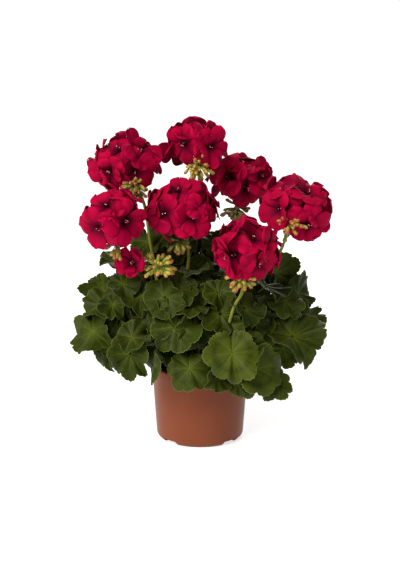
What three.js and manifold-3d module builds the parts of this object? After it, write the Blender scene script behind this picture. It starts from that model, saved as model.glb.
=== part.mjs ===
/**
 * A potted zonal geranium: a terracotta-coloured plastic pot, its root ball, a branching stem,
 * leaves on long petioles, and crimson flower heads on tall stalks.
 *
 * Millimetres, +Z up. The origin is the centre of the pot's foot, on the surface it stands on.
 * The plant's front faces -Y and its right-hand side is +X.
 */
import * as THREE from 'three';
import { mergeVertices } from 'three/addons/utils/BufferGeometryUtils.js';
import Module from 'manifold-3d';

// ---------------------------------------------------------------- driving dimensions

const CLEARANCE = 0.3; // between two pieces that rest on, or grow out of, each other

const POT_HEIGHT = 90;
const POT_RIM_RADIUS = 60;
const POT_COLLAR_HEIGHT = 10;
const POT_COLLAR_STEP = 1.6; // how far the collar stands out from the wall
const POT_FOOT_RADIUS = 48.5;
const POT_WALL = 1.4;
const POT_FLOOR_HEIGHT = 6; // underside of the floor, above the surface
const POT_CHAMFER = 4; // slope between the foot and the wall
const POT_FOOT_WIDTH = 3;
const POT_SIDES = 40;
const NOTCH_COUNT = 4;
const NOTCH_WIDTH = 21;
const NOTCH_HEIGHT = 5;
const DRAIN_RADIUS = 4;
const DRAIN_CIRCLE = 30;

const SOIL_DEPTH_BELOW_RIM = 13;
const SOIL_CROWN = 4; // how much higher the soil lies round the stem

const STEM_RADIUS = 7;
const STEM_SOCKET_DEPTH = 12; // how far the stem goes into the soil
const CROWN_HEIGHT = 12; // where the branches part, above the soil
const CROWN_RADIUS = 5.6;
const BRANCH_RADIUS = 4.6;
const BRANCH_TIP_RADIUS = 2.8;

const LEAF_THICKNESS = 0.9;
const PETIOLE_RADIUS = 1.4;
const PETIOLE_TIP_RADIUS = 0.8;

const STALK_RADIUS = 2.1;
const STALK_TIP_RADIUS = 1.7;
const PEDICEL_RADIUS = 0.8;
const FLORET_RADIUS = 17;
const FLORET_DEPTH = 9;
const KNOB_RADIUS = 2.6; // where a head's pedicels meet
const BUD_LENGTH = 9;
const BUD_RADIUS = 2.2;
const BUD_REACH = 10; // from the knob to the bud's foot
const BUD_LEAN = 108; // degrees from the head's own axis
const YOUNG_SPREAD = 105;

// ---------------------------------------------------------------- materials

const material = (color, roughness) =>
  new THREE.MeshStandardMaterial({ color, roughness, metalness: 0 });

const TERRACOTTA = material('#a0583f', 0.5);
const SOIL = material('#2e2219', 0.95);
const STEM = material('#5b6130', 0.7);
const LEAF = material('#4d5a1e', 0.6);
const STALK = material('#6f7032', 0.6);
const PETAL = material('#a80a34', 0.6);

// ---------------------------------------------------------------- solids

const wasm = await Module();
wasm.setup();

/** A mesh from a list of corners and a list of triangles, each a list of three numbers. */
function meshOf(corners, triangles) {
  const geometry = new THREE.BufferGeometry();
  geometry.setAttribute('position', new THREE.Float32BufferAttribute(corners.flat(), 3));
  geometry.setIndex(triangles.flat());
  return geometry;
}

/** The same geometry with each corner stored once. */
function weld(geometry) {
  geometry.deleteAttribute('normal');
  geometry.deleteAttribute('uv');
  return mergeVertices(geometry, 1e-4);
}

function solidOf(geometry) {
  return new wasm.Manifold(new wasm.Mesh({
    numProp: 3,
    vertProperties: Float32Array.from(geometry.attributes.position.array),
    triVerts: Uint32Array.from(geometry.index.array),
  }));
}

function geometryOf(solid) {
  const mesh = solid.getMesh();
  const geometry = new THREE.BufferGeometry();
  geometry.setAttribute('position', new THREE.BufferAttribute(mesh.vertProperties, 3));
  geometry.setIndex(new THREE.BufferAttribute(mesh.triVerts, 1));
  return geometry;
}

/** Joins closed meshes that run into each other to one closed mesh. */
function fuse(geometries) {
  return geometryOf(geometries.map(solidOf).reduce((whole, next) => whole.add(next)));
}

/** A round body turned about Z from an outline of [radius, height] that closes on itself. */
function turned(outline, sides) {
  const corners = [];
  const triangles = [];
  const count = outline.length;
  for (let side = 0; side < sides; side += 1) {
    const turn = (2 * Math.PI * side) / sides;
    outline.forEach(([radius, height]) => {
      corners.push([radius * Math.cos(turn), radius * Math.sin(turn), height]);
    });
    const here = side * count;
    const next = ((side + 1) % sides) * count;
    for (let i = 0; i < count; i += 1) {
      const j = (i + 1) % count;
      triangles.push([here + i, next + i, next + j], [here + i, next + j, here + j]);
    }
  }
  return meshOf(corners, triangles);
}

/** A closed skin over rings of corners, each ring a list of as many points, running anticlockwise. */
function skin(rings) {
  const sides = rings[0].length;
  const triangles = [];
  for (let ring = 0; ring < rings.length - 1; ring += 1) {
    for (let side = 0; side < sides; side += 1) {
      const a = ring * sides + side;
      const b = ring * sides + ((side + 1) % sides);
      triangles.push([a, b, b + sides], [a, b + sides, a + sides]);
    }
  }
  const last = (rings.length - 1) * sides;
  for (let side = 1; side < sides - 1; side += 1) {
    triangles.push([0, side + 1, side], [last, last + side, last + side + 1]);
  }
  return meshOf(rings.flat().map((corner) => corner.toArray()), triangles);
}

/** A ring of corners round a centre, from two directions square to each other. */
function ringOf(centre, across, up, radius, sides) {
  return Array.from({ length: sides }, (_, side) => {
    const turn = (2 * Math.PI * side) / sides;
    return centre.clone()
      .addScaledVector(across, radius * Math.cos(turn))
      .addScaledVector(up, radius * Math.sin(turn));
  });
}

/** A closed round bar along a curve, with a radius that changes evenly from start to end. */
function taperedBar(curve, startRadius, endRadius, sides, steps) {
  const { normals, binormals } = curve.computeFrenetFrames(steps, false);
  const rings = normals.map((normal, i) => {
    const radius = THREE.MathUtils.lerp(startRadius, endRadius, i / steps);
    return ringOf(curve.getPointAt(i / steps), normal, binormals[i], radius, sides);
  });
  return skin(rings);
}

/** A closed trumpet through stations of [centre, radius], each ring square to one direction. */
function trumpet(way, stations, sides) {
  const across = perpendicular(way);
  const up = way.clone().cross(across);
  return skin(stations.map(([centre, radius]) => ringOf(centre, across, up, radius, sides)));
}

/** Some direction square to another. */
function perpendicular(way) {
  const other = Math.abs(way.x) < 0.8 ? vector([1, 0, 0]) : vector([0, 1, 0]);
  return other.cross(way).normalize();
}

const vector = (point) => new THREE.Vector3(...point);
const UP = vector([0, 0, 1]);

/** A direction from a heading (degrees, 0 = front, 90 = right, 180 = back) and a lift above level. */
function direction(heading, lift) {
  const turn = THREE.MathUtils.degToRad(heading);
  const rise = THREE.MathUtils.degToRad(lift);
  return vector([
    Math.sin(turn) * Math.cos(rise),
    -Math.cos(turn) * Math.cos(rise),
    Math.sin(rise),
  ]);
}

// ---------------------------------------------------------------- pot and soil

const POT_WALL_TOP_RADIUS = POT_RIM_RADIUS - POT_COLLAR_STEP;
const POT_WALL_FOOT_RADIUS = POT_FOOT_RADIUS + POT_CHAMFER;

/** Outer radius of the wall at a height, between the chamfer and the collar. */
function wallRadius(height) {
  const start = POT_CHAMFER;
  const share = (height - start) / (POT_HEIGHT - start);
  return THREE.MathUtils.lerp(POT_WALL_FOOT_RADIUS, POT_WALL_TOP_RADIUS, share);
}

function potGeometry() {
  const collarFoot = POT_HEIGHT - POT_COLLAR_HEIGHT;
  const footInner = POT_FOOT_RADIUS - POT_FOOT_WIDTH;
  const floorTop = POT_FLOOR_HEIGHT + POT_WALL;
  const shell = turned([
    [footInner, 0],
    [POT_FOOT_RADIUS, 0],
    [POT_WALL_FOOT_RADIUS, POT_CHAMFER],
    [wallRadius(collarFoot), collarFoot],
    [POT_RIM_RADIUS - 0.4, collarFoot],
    [POT_RIM_RADIUS, POT_HEIGHT - 1],
    [POT_RIM_RADIUS - 1, POT_HEIGHT],
    [POT_RIM_RADIUS - POT_COLLAR_STEP - POT_WALL, POT_HEIGHT],
    [wallRadius(floorTop) - POT_WALL, floorTop],
    [DRAIN_RADIUS, floorTop],
    [DRAIN_RADIUS, POT_FLOOR_HEIGHT],
    [footInner, POT_FLOOR_HEIGHT],
  ], POT_SIDES);
  let pot = solidOf(shell);
  for (let i = 0; i < NOTCH_COUNT; i += 1) {
    const turn = (2 * Math.PI * (i + 0.5)) / NOTCH_COUNT;
    const notch = new THREE.BoxGeometry(4 * POT_FOOT_WIDTH + POT_CHAMFER, NOTCH_WIDTH, 2 * NOTCH_HEIGHT);
    const drain = new THREE.CylinderGeometry(DRAIN_RADIUS, DRAIN_RADIUS, 4 * POT_WALL, 12);
    notch.translate(POT_FOOT_RADIUS, 0, 0);
    drain.rotateX(Math.PI / 2).translate(DRAIN_CIRCLE, 0, POT_FLOOR_HEIGHT);
    for (const cutter of [notch, drain]) {
      cutter.rotateZ(turn);
      pot = pot.subtract(solidOf(weld(cutter)));
    }
  }
  return geometryOf(pot);
}

/** The height of the soil's surface at a distance from the stem. */
function soilTop(radius) {
  const edge = POT_HEIGHT - SOIL_DEPTH_BELOW_RIM;
  return edge + SOIL_CROWN * (1 - (radius / POT_FOOT_RADIUS) ** 2);
}

function soilGeometry() {
  const floor = POT_FLOOR_HEIGHT + POT_WALL + CLEARANCE;
  const sideAt = (height) => wallRadius(height) - POT_WALL - CLEARANCE;
  const edge = soilTop(POT_FOOT_RADIUS);
  const socket = STEM_RADIUS + CLEARANCE;
  const outline = [
    [sideAt(floor), floor],
    [sideAt(edge), edge],
    [0.7 * POT_FOOT_RADIUS, soilTop(0.7 * POT_FOOT_RADIUS)],
    [0.4 * POT_FOOT_RADIUS, soilTop(0.4 * POT_FOOT_RADIUS)],
    [socket, soilTop(socket)],
    [socket, soilTop(0) - STEM_SOCKET_DEPTH],
  ];
  const points = [new THREE.Vector2(0, floor)];
  outline.forEach(([radius, height]) => points.push(new THREE.Vector2(radius, height)));
  points.push(new THREE.Vector2(0, soilTop(0) - STEM_SOCKET_DEPTH));
  const lathe = new THREE.LatheGeometry(points, POT_SIDES);
  return weld(lathe.rotateX(Math.PI / 2));
}

// ---------------------------------------------------------------- stem

const SOIL_SURFACE = soilTop(0);

/** A place on the plant, from [x, y, height above the soil]. */
const grown = ([x, y, height]) => vector([x, y, SOIL_SURFACE + height]);

/** A place outside the pot's rim, at a heading, a distance outside it and a height above the soil. */
function overRim(heading, out, height) {
  const level = direction(heading, 0).multiplyScalar(POT_RIM_RADIUS + out);
  return [level.x, level.y, height];
}

/** Each branch runs through its points. */
const BRANCHES = {
  left: [[-4, 0, 6], [-26, 2, 42], [-50, -6, 84], [-58, -8, 118]],
  right: [[4, 0, 6], [28, 2, 40], [54, -6, 82], [64, -8, 112]],
  back_left: [[-3, 4, 6], [-18, 26, 40], [-32, 42, 84], [-36, 46, 114]],
  back_right: [[3, 4, 6], [20, 28, 40], [36, 40, 84], [40, 44, 118]],
  centre: [[0, 0, 6], [-4, 2, 50], [-8, -2, 100], [-8, -6, 128]],
  front: [[0, -4, 6], [2, -24, 34], [4, -42, 66], [4, -48, 86]],
};

const branchCurves = {};
for (const [name, points] of Object.entries(BRANCHES)) {
  branchCurves[name] = new THREE.CatmullRomCurve3(points.map(grown));
}

/** Where something grows out of a branch: its place, the way it points and the branch's own way. */
function shootPlace(branch, share, target) {
  const curve = branchCurves[branch];
  const centre = curve.getPointAt(share);
  const along = curve.getTangentAt(share);
  const away = target.clone().sub(centre);
  away.addScaledVector(along, -away.dot(along)).normalize();
  const radius = THREE.MathUtils.lerp(BRANCH_RADIUS, BRANCH_TIP_RADIUS, share);
  const start = centre.clone().addScaledVector(away, radius + CLEARANCE);
  return { start, away };
}

function stemGeometry() {
  const foot = vector([0, 0, SOIL_SURFACE - STEM_SOCKET_DEPTH + CLEARANCE]);
  const crown = grown([0, 0, CROWN_HEIGHT]);
  const trunk = taperedBar(new THREE.LineCurve3(foot, crown), STEM_RADIUS, CROWN_RADIUS, 10, 1);
  const branches = Object.values(branchCurves).map((curve) =>
    taperedBar(curve, BRANCH_RADIUS, BRANCH_TIP_RADIUS, 8, 6));
  return fuse([trunk, ...branches]);
}

// ---------------------------------------------------------------- leaves

const LEAF_SECTORS = 16;
const INNER_RING = 0.5; // share of the reach where the blade's cup bends
const SINUS_REACH = 0.14; // share of the reach left where the petiole comes in
const VALLEY_REACH = 0.93; // between two lobes
const BACK_LOSS = 0.26; // how much shorter the lobes beside the sinus are

/** Reach of the blade's edge at an angle from the midrib, as a share of the reach at its tip. */
function bladeReach(sector) {
  const angle = Math.PI - (2 * Math.PI * sector) / LEAF_SECTORS;
  const sinus = sector === 0;
  const back = (1 - Math.cos(angle)) / 2; // 0 at the tip, 1 at the sinus
  const lobe = sector % 2 === 0 ? 1 : VALLEY_REACH;
  return sinus ? SINUS_REACH : lobe * (1 - BACK_LOSS * back ** 1.5);
}

/**
 * A leaf: a cupped, seven-lobed blade that faces `facing` with its tip turned `tip` degrees from
 * straight down, on a petiole that starts at `share` of the way up a branch.
 */
function leafGeometry({ on, share, at, facing, tip, reach, cup }) {
  const joint = grown(at);
  const normal = direction(...facing);
  const upright = UP.clone().addScaledVector(normal, -normal.z).normalize();
  const sideways = upright.clone().cross(normal);
  const turn = THREE.MathUtils.degToRad(tip);
  const midrib = upright.clone().multiplyScalar(-Math.cos(turn))
    .addScaledVector(sideways, Math.sin(turn));
  const across = normal.clone().cross(midrib);

  const corners = [];
  const triangles = [];
  for (const layer of [0, -LEAF_THICKNESS]) {
    corners.push(joint.clone().addScaledVector(normal, layer).toArray());
    for (const ring of [INNER_RING, 1]) {
      for (let sector = 0; sector < LEAF_SECTORS; sector += 1) {
        const angle = Math.PI - (2 * Math.PI * sector) / LEAF_SECTORS;
        const share = ring * bladeReach(sector);
        corners.push(joint.clone()
          .addScaledVector(midrib, reach * share * Math.cos(angle))
          .addScaledVector(across, reach * share * Math.sin(angle))
          .addScaledVector(normal, reach * cup * share ** 2 + layer)
          .toArray());
      }
    }
  }
  const under = 1 + 2 * LEAF_SECTORS;
  for (let sector = 0; sector < LEAF_SECTORS; sector += 1) {
    const next = (sector + 1) % LEAF_SECTORS;
    const [a, b] = [1 + sector, 1 + next];
    const [c, d] = [a + LEAF_SECTORS, b + LEAF_SECTORS];
    triangles.push([0, b, a], [a, b, d], [a, d, c]);
    triangles.push([under, under + a, under + b]);
    triangles.push([under + a, under + d, under + b], [under + a, under + c, under + d]);
    triangles.push([c, d, under + d], [c, under + d, under + c]);
  }
  const blade = meshOf(corners, triangles);

  const { start, away } = shootPlace(on, share, joint);
  const arrival = joint.clone().sub(start).normalize().add(normal).normalize();
  const end = joint.clone().addScaledVector(arrival, -LEAF_THICKNESS);
  const span = start.distanceTo(end);
  const petiole = new THREE.CubicBezierCurve3(
    start,
    start.clone().addScaledVector(away, 0.28 * span),
    end.clone().addScaledVector(arrival, -0.3 * span),
    end,
  );
  return fuse([blade, taperedBar(petiole, PETIOLE_RADIUS, PETIOLE_TIP_RADIUS, 4, 4)]);
}

const LEAVES = [
  // left side, from the front
  { on: 'left', share: 0.55, at: [-125, -35, 57], facing: [-40, 30], tip: -55, reach: 32, cup: 0.15 },
  { on: 'left', share: 0.85, at: [-115, -5, 97], facing: [-25, 10], tip: -135, reach: 24, cup: 0.1 },
  { on: 'left', share: 0.7, at: [-113, -25, 87], facing: [-50, 45], tip: -90, reach: 28, cup: 0.2 },
  { on: 'left', share: 0.9, at: [-88, -55, 117], facing: [5, 50], tip: 60, reach: 22, cup: 0.1 },
  { on: 'left', share: 0.8, at: [-67, -45, 96], facing: [20, 30], tip: 20, reach: 24, cup: 0.3 },
  { on: 'left', share: 0.75, at: [-99, -60, 94], facing: [-10, 35], tip: 0, reach: 17, cup: 0.2 },
  { on: 'front', share: 0.9, at: [-27, -85, 75], facing: [0, 20], tip: 15, reach: 31, cup: 0.12 },
  { on: 'left', share: 0.45, at: [-76, -84, 62], facing: [-10, 45], tip: 120, reach: 22, cup: 0.15 },
  { on: 'left', share: 0.35, at: [-78, -80, 42], facing: [-15, 25], tip: 0, reach: 27, cup: -0.1 },
  { on: 'left', share: 0.25, at: [-107, -36, 35], facing: [-35, 18], tip: 0, reach: 23, cup: -0.1 },
  { on: 'left', share: 0.15, at: [-53, -84, 33], facing: [-62, 5], tip: 0, reach: 24, cup: -0.15 },
  { on: 'front', share: 0.35, at: overRim(-7, 38, 30), facing: [0, 30], tip: 0, reach: 26, cup: -0.1 },
  { on: 'front', share: 0.5, at: [-28, -66, 37], facing: [0, 45], tip: 180, reach: 21, cup: 0.2 },
  // middle
  { on: 'centre', share: 0.85, at: [-2, -20, 131], facing: [0, 20], tip: 10, reach: 18, cup: 0.1 },
  { on: 'back_left', share: 0.97, at: [-65, 24, 153], facing: [-10, 40], tip: 0, reach: 22, cup: 0.1 },
  { on: 'centre', share: 0.7, at: [15, -36, 110], facing: [5, 20], tip: 0, reach: 19, cup: 0.1 },
  { on: 'centre', share: 0.92, at: [22, 5, 155], facing: [10, 40], tip: 20, reach: 23, cup: 0.1 },
  // right side, from the front
  { on: 'front', share: 0.8, at: [35, -112, 52], facing: [0, 15], tip: 5, reach: 33, cup: -0.08 },
  { on: 'right', share: 0.3, at: [64, -98, 29], facing: [15, 20], tip: 60, reach: 31, cup: -0.05 },
  { on: 'right', share: 0.5, at: [105, -60, 57], facing: [20, 38], tip: 70, reach: 37, cup: 0.1 },
  { on: 'right', share: 0.4, at: [97, -37, 36], facing: [15, 15], tip: 10, reach: 24, cup: -0.1 },
  { on: 'right', share: 0.8, at: [98, -46, 96], facing: [10, 45], tip: -20, reach: 24, cup: 0.1 },
  { on: 'right', share: 0.78, at: [118, 2, 95], facing: [40, 25], tip: 120, reach: 22, cup: 0.15 },
  { on: 'right', share: 0.9, at: [90, 6, 118], facing: [15, 15], tip: 110, reach: 28, cup: 0.1 },
  { on: 'centre', share: 0.52, at: [24, -60, 95], facing: [-10, 20], tip: -75, reach: 29, cup: 0.12 },
  { on: 'right', share: 0.65, at: [63, -42, 65], facing: [-20, 25], tip: 170, reach: 28, cup: 0.25 },
  { on: 'right', share: 0.6, at: [127, -26, 73], facing: [30, 50], tip: -90, reach: 28, cup: 0.1 },
  { on: 'right', share: 0.25, at: overRim(43, 61, 11), facing: [15, 20], tip: 20, reach: 21, cup: 0.1 },
  { on: 'front', share: 0.33, at: overRim(35, 28, 8), facing: [0, 20], tip: 20, reach: 20, cup: -0.1 },
  // back
  { on: 'left', share: 0.5, at: [-105, 42, 69], facing: [-110, 30], tip: 0, reach: 32, cup: 0.1 },
  { on: 'back_left', share: 0.5, at: [-70, 90, 59], facing: [-145, 25], tip: 0, reach: 33, cup: -0.1 },
  { on: 'back_left', share: 0.4, at: [-15, 111, 51], facing: [175, 25], tip: 15, reach: 34, cup: 0.1 },
  { on: 'back_right', share: 0.5, at: [45, 98, 69], facing: [155, 25], tip: 0, reach: 33, cup: 0.1 },
  { on: 'back_right', share: 0.35, at: [95, 62, 57], facing: [120, 25], tip: -10, reach: 34, cup: -0.1 },
  { on: 'right', share: 0.45, at: [124, 15, 41], facing: [85, 15], tip: 0, reach: 30, cup: 0.1 },
  { on: 'back_left', share: 0.8, at: [-88, 58, 114], facing: [-125, 40], tip: 0, reach: 30, cup: 0.1 },
  { on: 'back_left', share: 0.88, at: [-32, 88, 111], facing: [-165, 40], tip: 0, reach: 31, cup: 0.1 },
  { on: 'back_right', share: 0.88, at: [25, 82, 126], facing: [165, 45], tip: 0, reach: 30, cup: 0.1 },
  { on: 'back_right', share: 0.72, at: [78, 52, 119], facing: [130, 40], tip: 0, reach: 31, cup: 0.1 },
  { on: 'back_left', share: 0.25, at: overRim(-144, 26, 19), facing: [-150, 10], tip: 0, reach: 28, cup: -0.1 },
  { on: 'back_right', share: 0.22, at: overRim(157, 29, 17), facing: [160, 10], tip: 0, reach: 29, cup: -0.1 },
];

// ---------------------------------------------------------------- flower heads

const GOLDEN_ANGLE = Math.PI * (3 - Math.sqrt(5));

/** A direction that leans from an axis, both angles in radians. */
function leaning(axis, lean, heading) {
  const side = perpendicular(axis);
  const other = axis.clone().cross(side);
  return axis.clone().multiplyScalar(Math.cos(lean))
    .addScaledVector(side, Math.sin(lean) * Math.cos(heading))
    .addScaledVector(other, Math.sin(lean) * Math.sin(heading));
}

/** Directions spread evenly round an axis, out to `spread` degrees from it. */
function fanOut(axis, count, spread) {
  const directions = [];
  for (let i = 0; i < count; i += 1) {
    const lean = THREE.MathUtils.degToRad(spread) * Math.sqrt((i + 0.5) / count);
    directions.push(leaning(axis, lean, i * GOLDEN_ANGLE));
  }
  return directions;
}

/** A floret that opens along a direction, on a pedicel from the point where they all meet. */
function floretGeometry(from, place, way) {
  const mouth = place.clone().addScaledVector(way, FLORET_DEPTH);
  return trumpet(way, [
    [from, PEDICEL_RADIUS],
    [place, PEDICEL_RADIUS],
    [mouth, FLORET_RADIUS],
  ], 5);
}

/** An unopened bud on its pedicel. */
function budGeometry(from, way) {
  const along = (distance) => from.clone().addScaledVector(way, distance);
  return trumpet(way, [
    [from, PEDICEL_RADIUS],
    [along(BUD_REACH), PEDICEL_RADIUS],
    [along(BUD_REACH + BUD_LENGTH / 3), BUD_RADIUS],
    [along(BUD_REACH + BUD_LENGTH), PEDICEL_RADIUS / 2],
  ], 4);
}

/** The knob where a head's pedicels meet. */
function knobGeometry(place) {
  return weld(new THREE.IcosahedronGeometry(KNOB_RADIUS, 0).translate(...place.toArray()));
}

/**
 * A flower head: pedicels fan out from `at` to florets that cover a ball round `centre`, flattened
 * by `squat`, out to `spread` degrees from its top. Unopened buds hang below them.
 */
function headGeometry({ at, centre, radius, squat, florets, spread, buds }) {
  const from = grown(at);
  const middle = grown(centre);
  const main = middle.clone().sub(from).normalize();
  const pieces = [knobGeometry(from)];
  for (const way of fanOut(main, florets, spread)) {
    const place = middle.clone()
      .addScaledVector(way, radius - FLORET_DEPTH)
      .addScaledVector(main, (squat - 1) * (radius - FLORET_DEPTH) * way.dot(main));
    pieces.push(floretGeometry(from, place, way));
  }
  for (let i = 0; i < buds; i += 1) {
    const lean = THREE.MathUtils.degToRad(BUD_LEAN);
    pieces.push(budGeometry(from, leaning(main, lean, (2 * Math.PI * (i + 0.5)) / buds)));
  }
  return fuse(pieces);
}

/** A head that is still in bud, with one floret open at its side. */
function youngHeadGeometry({ at, buds, open, faces }) {
  const from = grown(at);
  const pieces = [knobGeometry(from)];
  for (const way of fanOut(UP, buds, YOUNG_SPREAD)) {
    pieces.push(budGeometry(from, way));
  }
  pieces.push(floretGeometry(from, grown(open), direction(...faces)));
  return fuse(pieces);
}

/** A stalk that leaves a branch, runs through its bends and ends under its flower head. */
function stalkGeometry({ on, share, bends, at, centre }) {
  const knob = grown(at);
  const rise = grown(centre).sub(knob).normalize();
  const { start, away } = shootPlace(on, share, grown(bends[0]));
  const elbow = start.clone().addScaledVector(away, 2 * STALK_RADIUS);
  const neck = knob.clone().addScaledVector(rise, -8 * STALK_RADIUS);
  const end = knob.clone().addScaledVector(rise, -KNOB_RADIUS - CLEARANCE);
  const route = new THREE.CatmullRomCurve3([start, elbow, ...bends.map(grown), neck, end]);
  return taperedBar(route, STALK_RADIUS, STALK_TIP_RADIUS, 6, 2 * (bends.length + 3));
}

const HEADS = {
  a: {
    on: 'left', share: 0.97, bends: [[-59, 0, 159]],
    at: [-72, 0, 218], centre: [-84, -5, 247],
    radius: 40, squat: 0.9, florets: 11, spread: 112, buds: 5,
  },
  b: {
    on: 'centre', share: 0.97, bends: [[-4, 4, 184]],
    at: [-2, 8, 245], centre: [-4, 5, 271],
    radius: 35, squat: 0.6, florets: 9, spread: 105, buds: 6,
  },
  c: {
    on: 'back_right', share: 0.97, bends: [[41, 46, 155]],
    at: [44, 45, 191], centre: [49, 45, 225],
    radius: 37, squat: 0.8, florets: 10, spread: 110, buds: 5,
  },
  d: {
    on: 'right', share: 0.97, bends: [[84, -14, 137]],
    at: [98, -27, 163], centre: [111, -31, 197],
    radius: 41, squat: 0.85, florets: 11, spread: 110, buds: 8,
  },
  e: {
    on: 'centre', share: 0.62, bends: [[-16, -38, 114]],
    at: [-15, -42, 162], centre: [-21, -46, 200],
    radius: 42, squat: 0.85, florets: 12, spread: 112, buds: 5,
  },
  f: {
    on: 'left', share: 0.62, bends: [[-67, -26, 119], [-79, -52, 145]],
    at: [-84, -70, 165], centre: [-94, -81, 195],
    radius: 33, squat: 0.9, florets: 10, spread: 112, buds: 5,
  },
  g: {
    on: 'front', share: 0.7, bends: [[30, -79, 71], [39, -84, 101]],
    at: [48, -84, 123], centre: [54, -92, 160],
    radius: 36, squat: 0.95, florets: 11, spread: 112, buds: 5,
  },
};

const YOUNG_HEAD = {
  on: 'front', share: 0.6, bends: [[-30, -58, 71], [-40, -62, 95]],
  at: [-50, -68, 134], centre: [-51, -69, 141], buds: 13, open: [-77, -80, 146], faces: [-10, 5],
};

// ---------------------------------------------------------------- the whole plant

const plant = new THREE.Group();

function place(name, geometry, look) {
  const mesh = new THREE.Mesh(geometry, look);
  mesh.name = name;
  plant.add(mesh);
}

place('pot', potGeometry(), TERRACOTTA);
place('potting_soil', soilGeometry(), SOIL);
place('main_stem', stemGeometry(), STEM);
LEAVES.forEach((leaf, index) => {
  place(`leaf_${String(index + 1).padStart(2, '0')}`, leafGeometry(leaf), LEAF);
});
for (const [letter, head] of Object.entries(HEADS)) {
  place(`stalk_${letter}`, stalkGeometry(head), STALK);
  place(`head_${letter}`, headGeometry(head), PETAL);
}
place('stalk_h', stalkGeometry(YOUNG_HEAD), STALK);
place('head_h', youngHeadGeometry(YOUNG_HEAD), PETAL);

export default plant;
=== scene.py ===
# %% [markdown]
# # A potted geranium
# The plant is a zonal geranium in a plastic grower's pot. Its frame, made elsewhere, holds one plain
# solid for each leaf, stalk and flower head. This lesson reads where each of them is and grows the
# fine shape there: scalloped, ruffled blades with sunken veins, and umbels of semi-double florets.

# %% Load the frame
import math

import bmesh
import bpy
import numpy as np
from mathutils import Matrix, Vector, noise


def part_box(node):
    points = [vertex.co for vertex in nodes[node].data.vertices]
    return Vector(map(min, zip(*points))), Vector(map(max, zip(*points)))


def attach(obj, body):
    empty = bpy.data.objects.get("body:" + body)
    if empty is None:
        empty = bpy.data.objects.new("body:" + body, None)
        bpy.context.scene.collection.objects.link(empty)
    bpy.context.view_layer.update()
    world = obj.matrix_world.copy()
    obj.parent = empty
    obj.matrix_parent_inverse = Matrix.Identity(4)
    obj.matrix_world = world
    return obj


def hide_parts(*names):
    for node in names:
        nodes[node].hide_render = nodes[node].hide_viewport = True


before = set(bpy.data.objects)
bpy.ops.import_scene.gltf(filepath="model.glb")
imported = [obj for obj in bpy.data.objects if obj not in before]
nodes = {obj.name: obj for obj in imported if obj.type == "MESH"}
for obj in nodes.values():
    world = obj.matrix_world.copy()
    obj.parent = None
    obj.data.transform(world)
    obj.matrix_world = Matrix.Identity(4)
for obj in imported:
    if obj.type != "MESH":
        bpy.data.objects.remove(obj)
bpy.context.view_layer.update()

MM = 0.001  # the lesson counts in millimetres and Blender in metres
WELD = 1e-6  # metres within which two corners are one
TAU = math.tau  # a full turn
rng = np.random.default_rng(7)  # one seeded source of chance, so that each run gives the same plant

# %% [markdown]
# ## Colour and shader helpers
# Colours are written as sRGB hex, as a paint chart gives them, and a shader wants linear light, so one
# function turns them. Materials are built from nodes. One small function adds a node, sets what it is
# given and links what it is given, which keeps each material short to read.

# %% Helpers for colours and nodes
def linear(hex_colour):
    """An sRGB hex colour as linear red, green, blue and alpha."""
    parts = [int(hex_colour[i:i + 2], 16) / 255 for i in (1, 3, 5)]
    curve = [p / 12.92 if p <= 0.04045 else ((p + 0.055) / 1.055) ** 2.4 for p in parts]
    return (*curve, 1.0)


def wire(node, **links):
    """Links sockets, or nodes by their first output, to inputs given by name, or as i and a number."""
    for key, source in links.items():
        into = node.inputs[int(key[1:])] if key[1:].isdigit() else node.inputs[key.replace("_", " ")]
        node.id_data.links.new(source.outputs[0] if isinstance(source, bpy.types.Node) else source, into)


def add(tree, kind, settings=None, **links):
    """Adds a shader node. settings holds attributes and, by socket name or number, values."""
    node = tree.nodes.new("ShaderNode" + kind)
    for key, value in (settings or {}).items():
        if isinstance(key, int) or key in node.inputs:
            node.inputs[key].default_value = value
        else:
            setattr(node, key, value)
    wire(node, **links)
    return node


def point_value(tree, name):
    """A number that build keeps with each point: tone, under or edge."""
    return add(tree, "Attribute", {"attribute_name": name}).outputs["Fac"]


def new_material(name, **shader_values):
    """A material with one Principled shader whose even values are set on its own sockets."""
    material = bpy.data.materials.new(name)
    material.use_nodes = True
    shader = material.node_tree.nodes["Principled BSDF"]
    for key, value in shader_values.items():
        shader.inputs[key.replace("_", " ")].default_value = value
    return material, material.node_tree, shader


def ramp(tree, factor, stops):
    """A colour ramp through (position, hex colour) stops."""
    node = add(tree, "ValToRGB", Fac=factor)
    elements = node.color_ramp.elements
    for position, colour in stops[1:-1]:
        elements.new(position)
    for element, (position, colour) in zip(elements, stops):
        element.position = position
        element.color = linear(colour)
    return node.outputs["Color"]

# %% [markdown]
# ## Mesh helpers
# Everything on this plant is either a thin sheet (blades, petals, sepals), a tube (stems, petioles,
# pedicels) or a small rounded lump (buds, anthers, crumbs). Subdivision modelling would do for one
# leaf, but hundreds of pieces that each differ are easier to grow from a grid of points, so each
# helper makes one such grid and all the grids of one plant organ are joined to one object. Each point
# also keeps a tone that its shader uses, mostly a random number but in places raised or lowered as
# painted light or shade, and whether it is on the underside.

# %% Grids of points
def unit(v):
    v = np.asarray(v, float)
    return v / np.linalg.norm(v, axis=-1, keepdims=True).clip(1e-12)


def grid_faces(rows, columns, closed, offset=0):
    """Quads over a grid of points that is stored row by row."""
    i, j = np.meshgrid(np.arange(rows - 1), np.arange(columns if closed else columns - 1), indexing="ij")
    a = i * columns + j
    b = i * columns + (j + 1) % columns
    return (np.stack([a, b, b + columns, a + columns], -1).reshape(-1, 4)) + offset


def grid_normals(grid, closed=False):
    """Unit normals of a grid of points, from its neighbours along each direction."""
    along = np.gradient(grid, axis=0)
    across = (np.roll(grid, -1, 1) - np.roll(grid, 1, 1)) if closed else np.gradient(grid, axis=1)
    return unit(np.cross(along, across))


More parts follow.
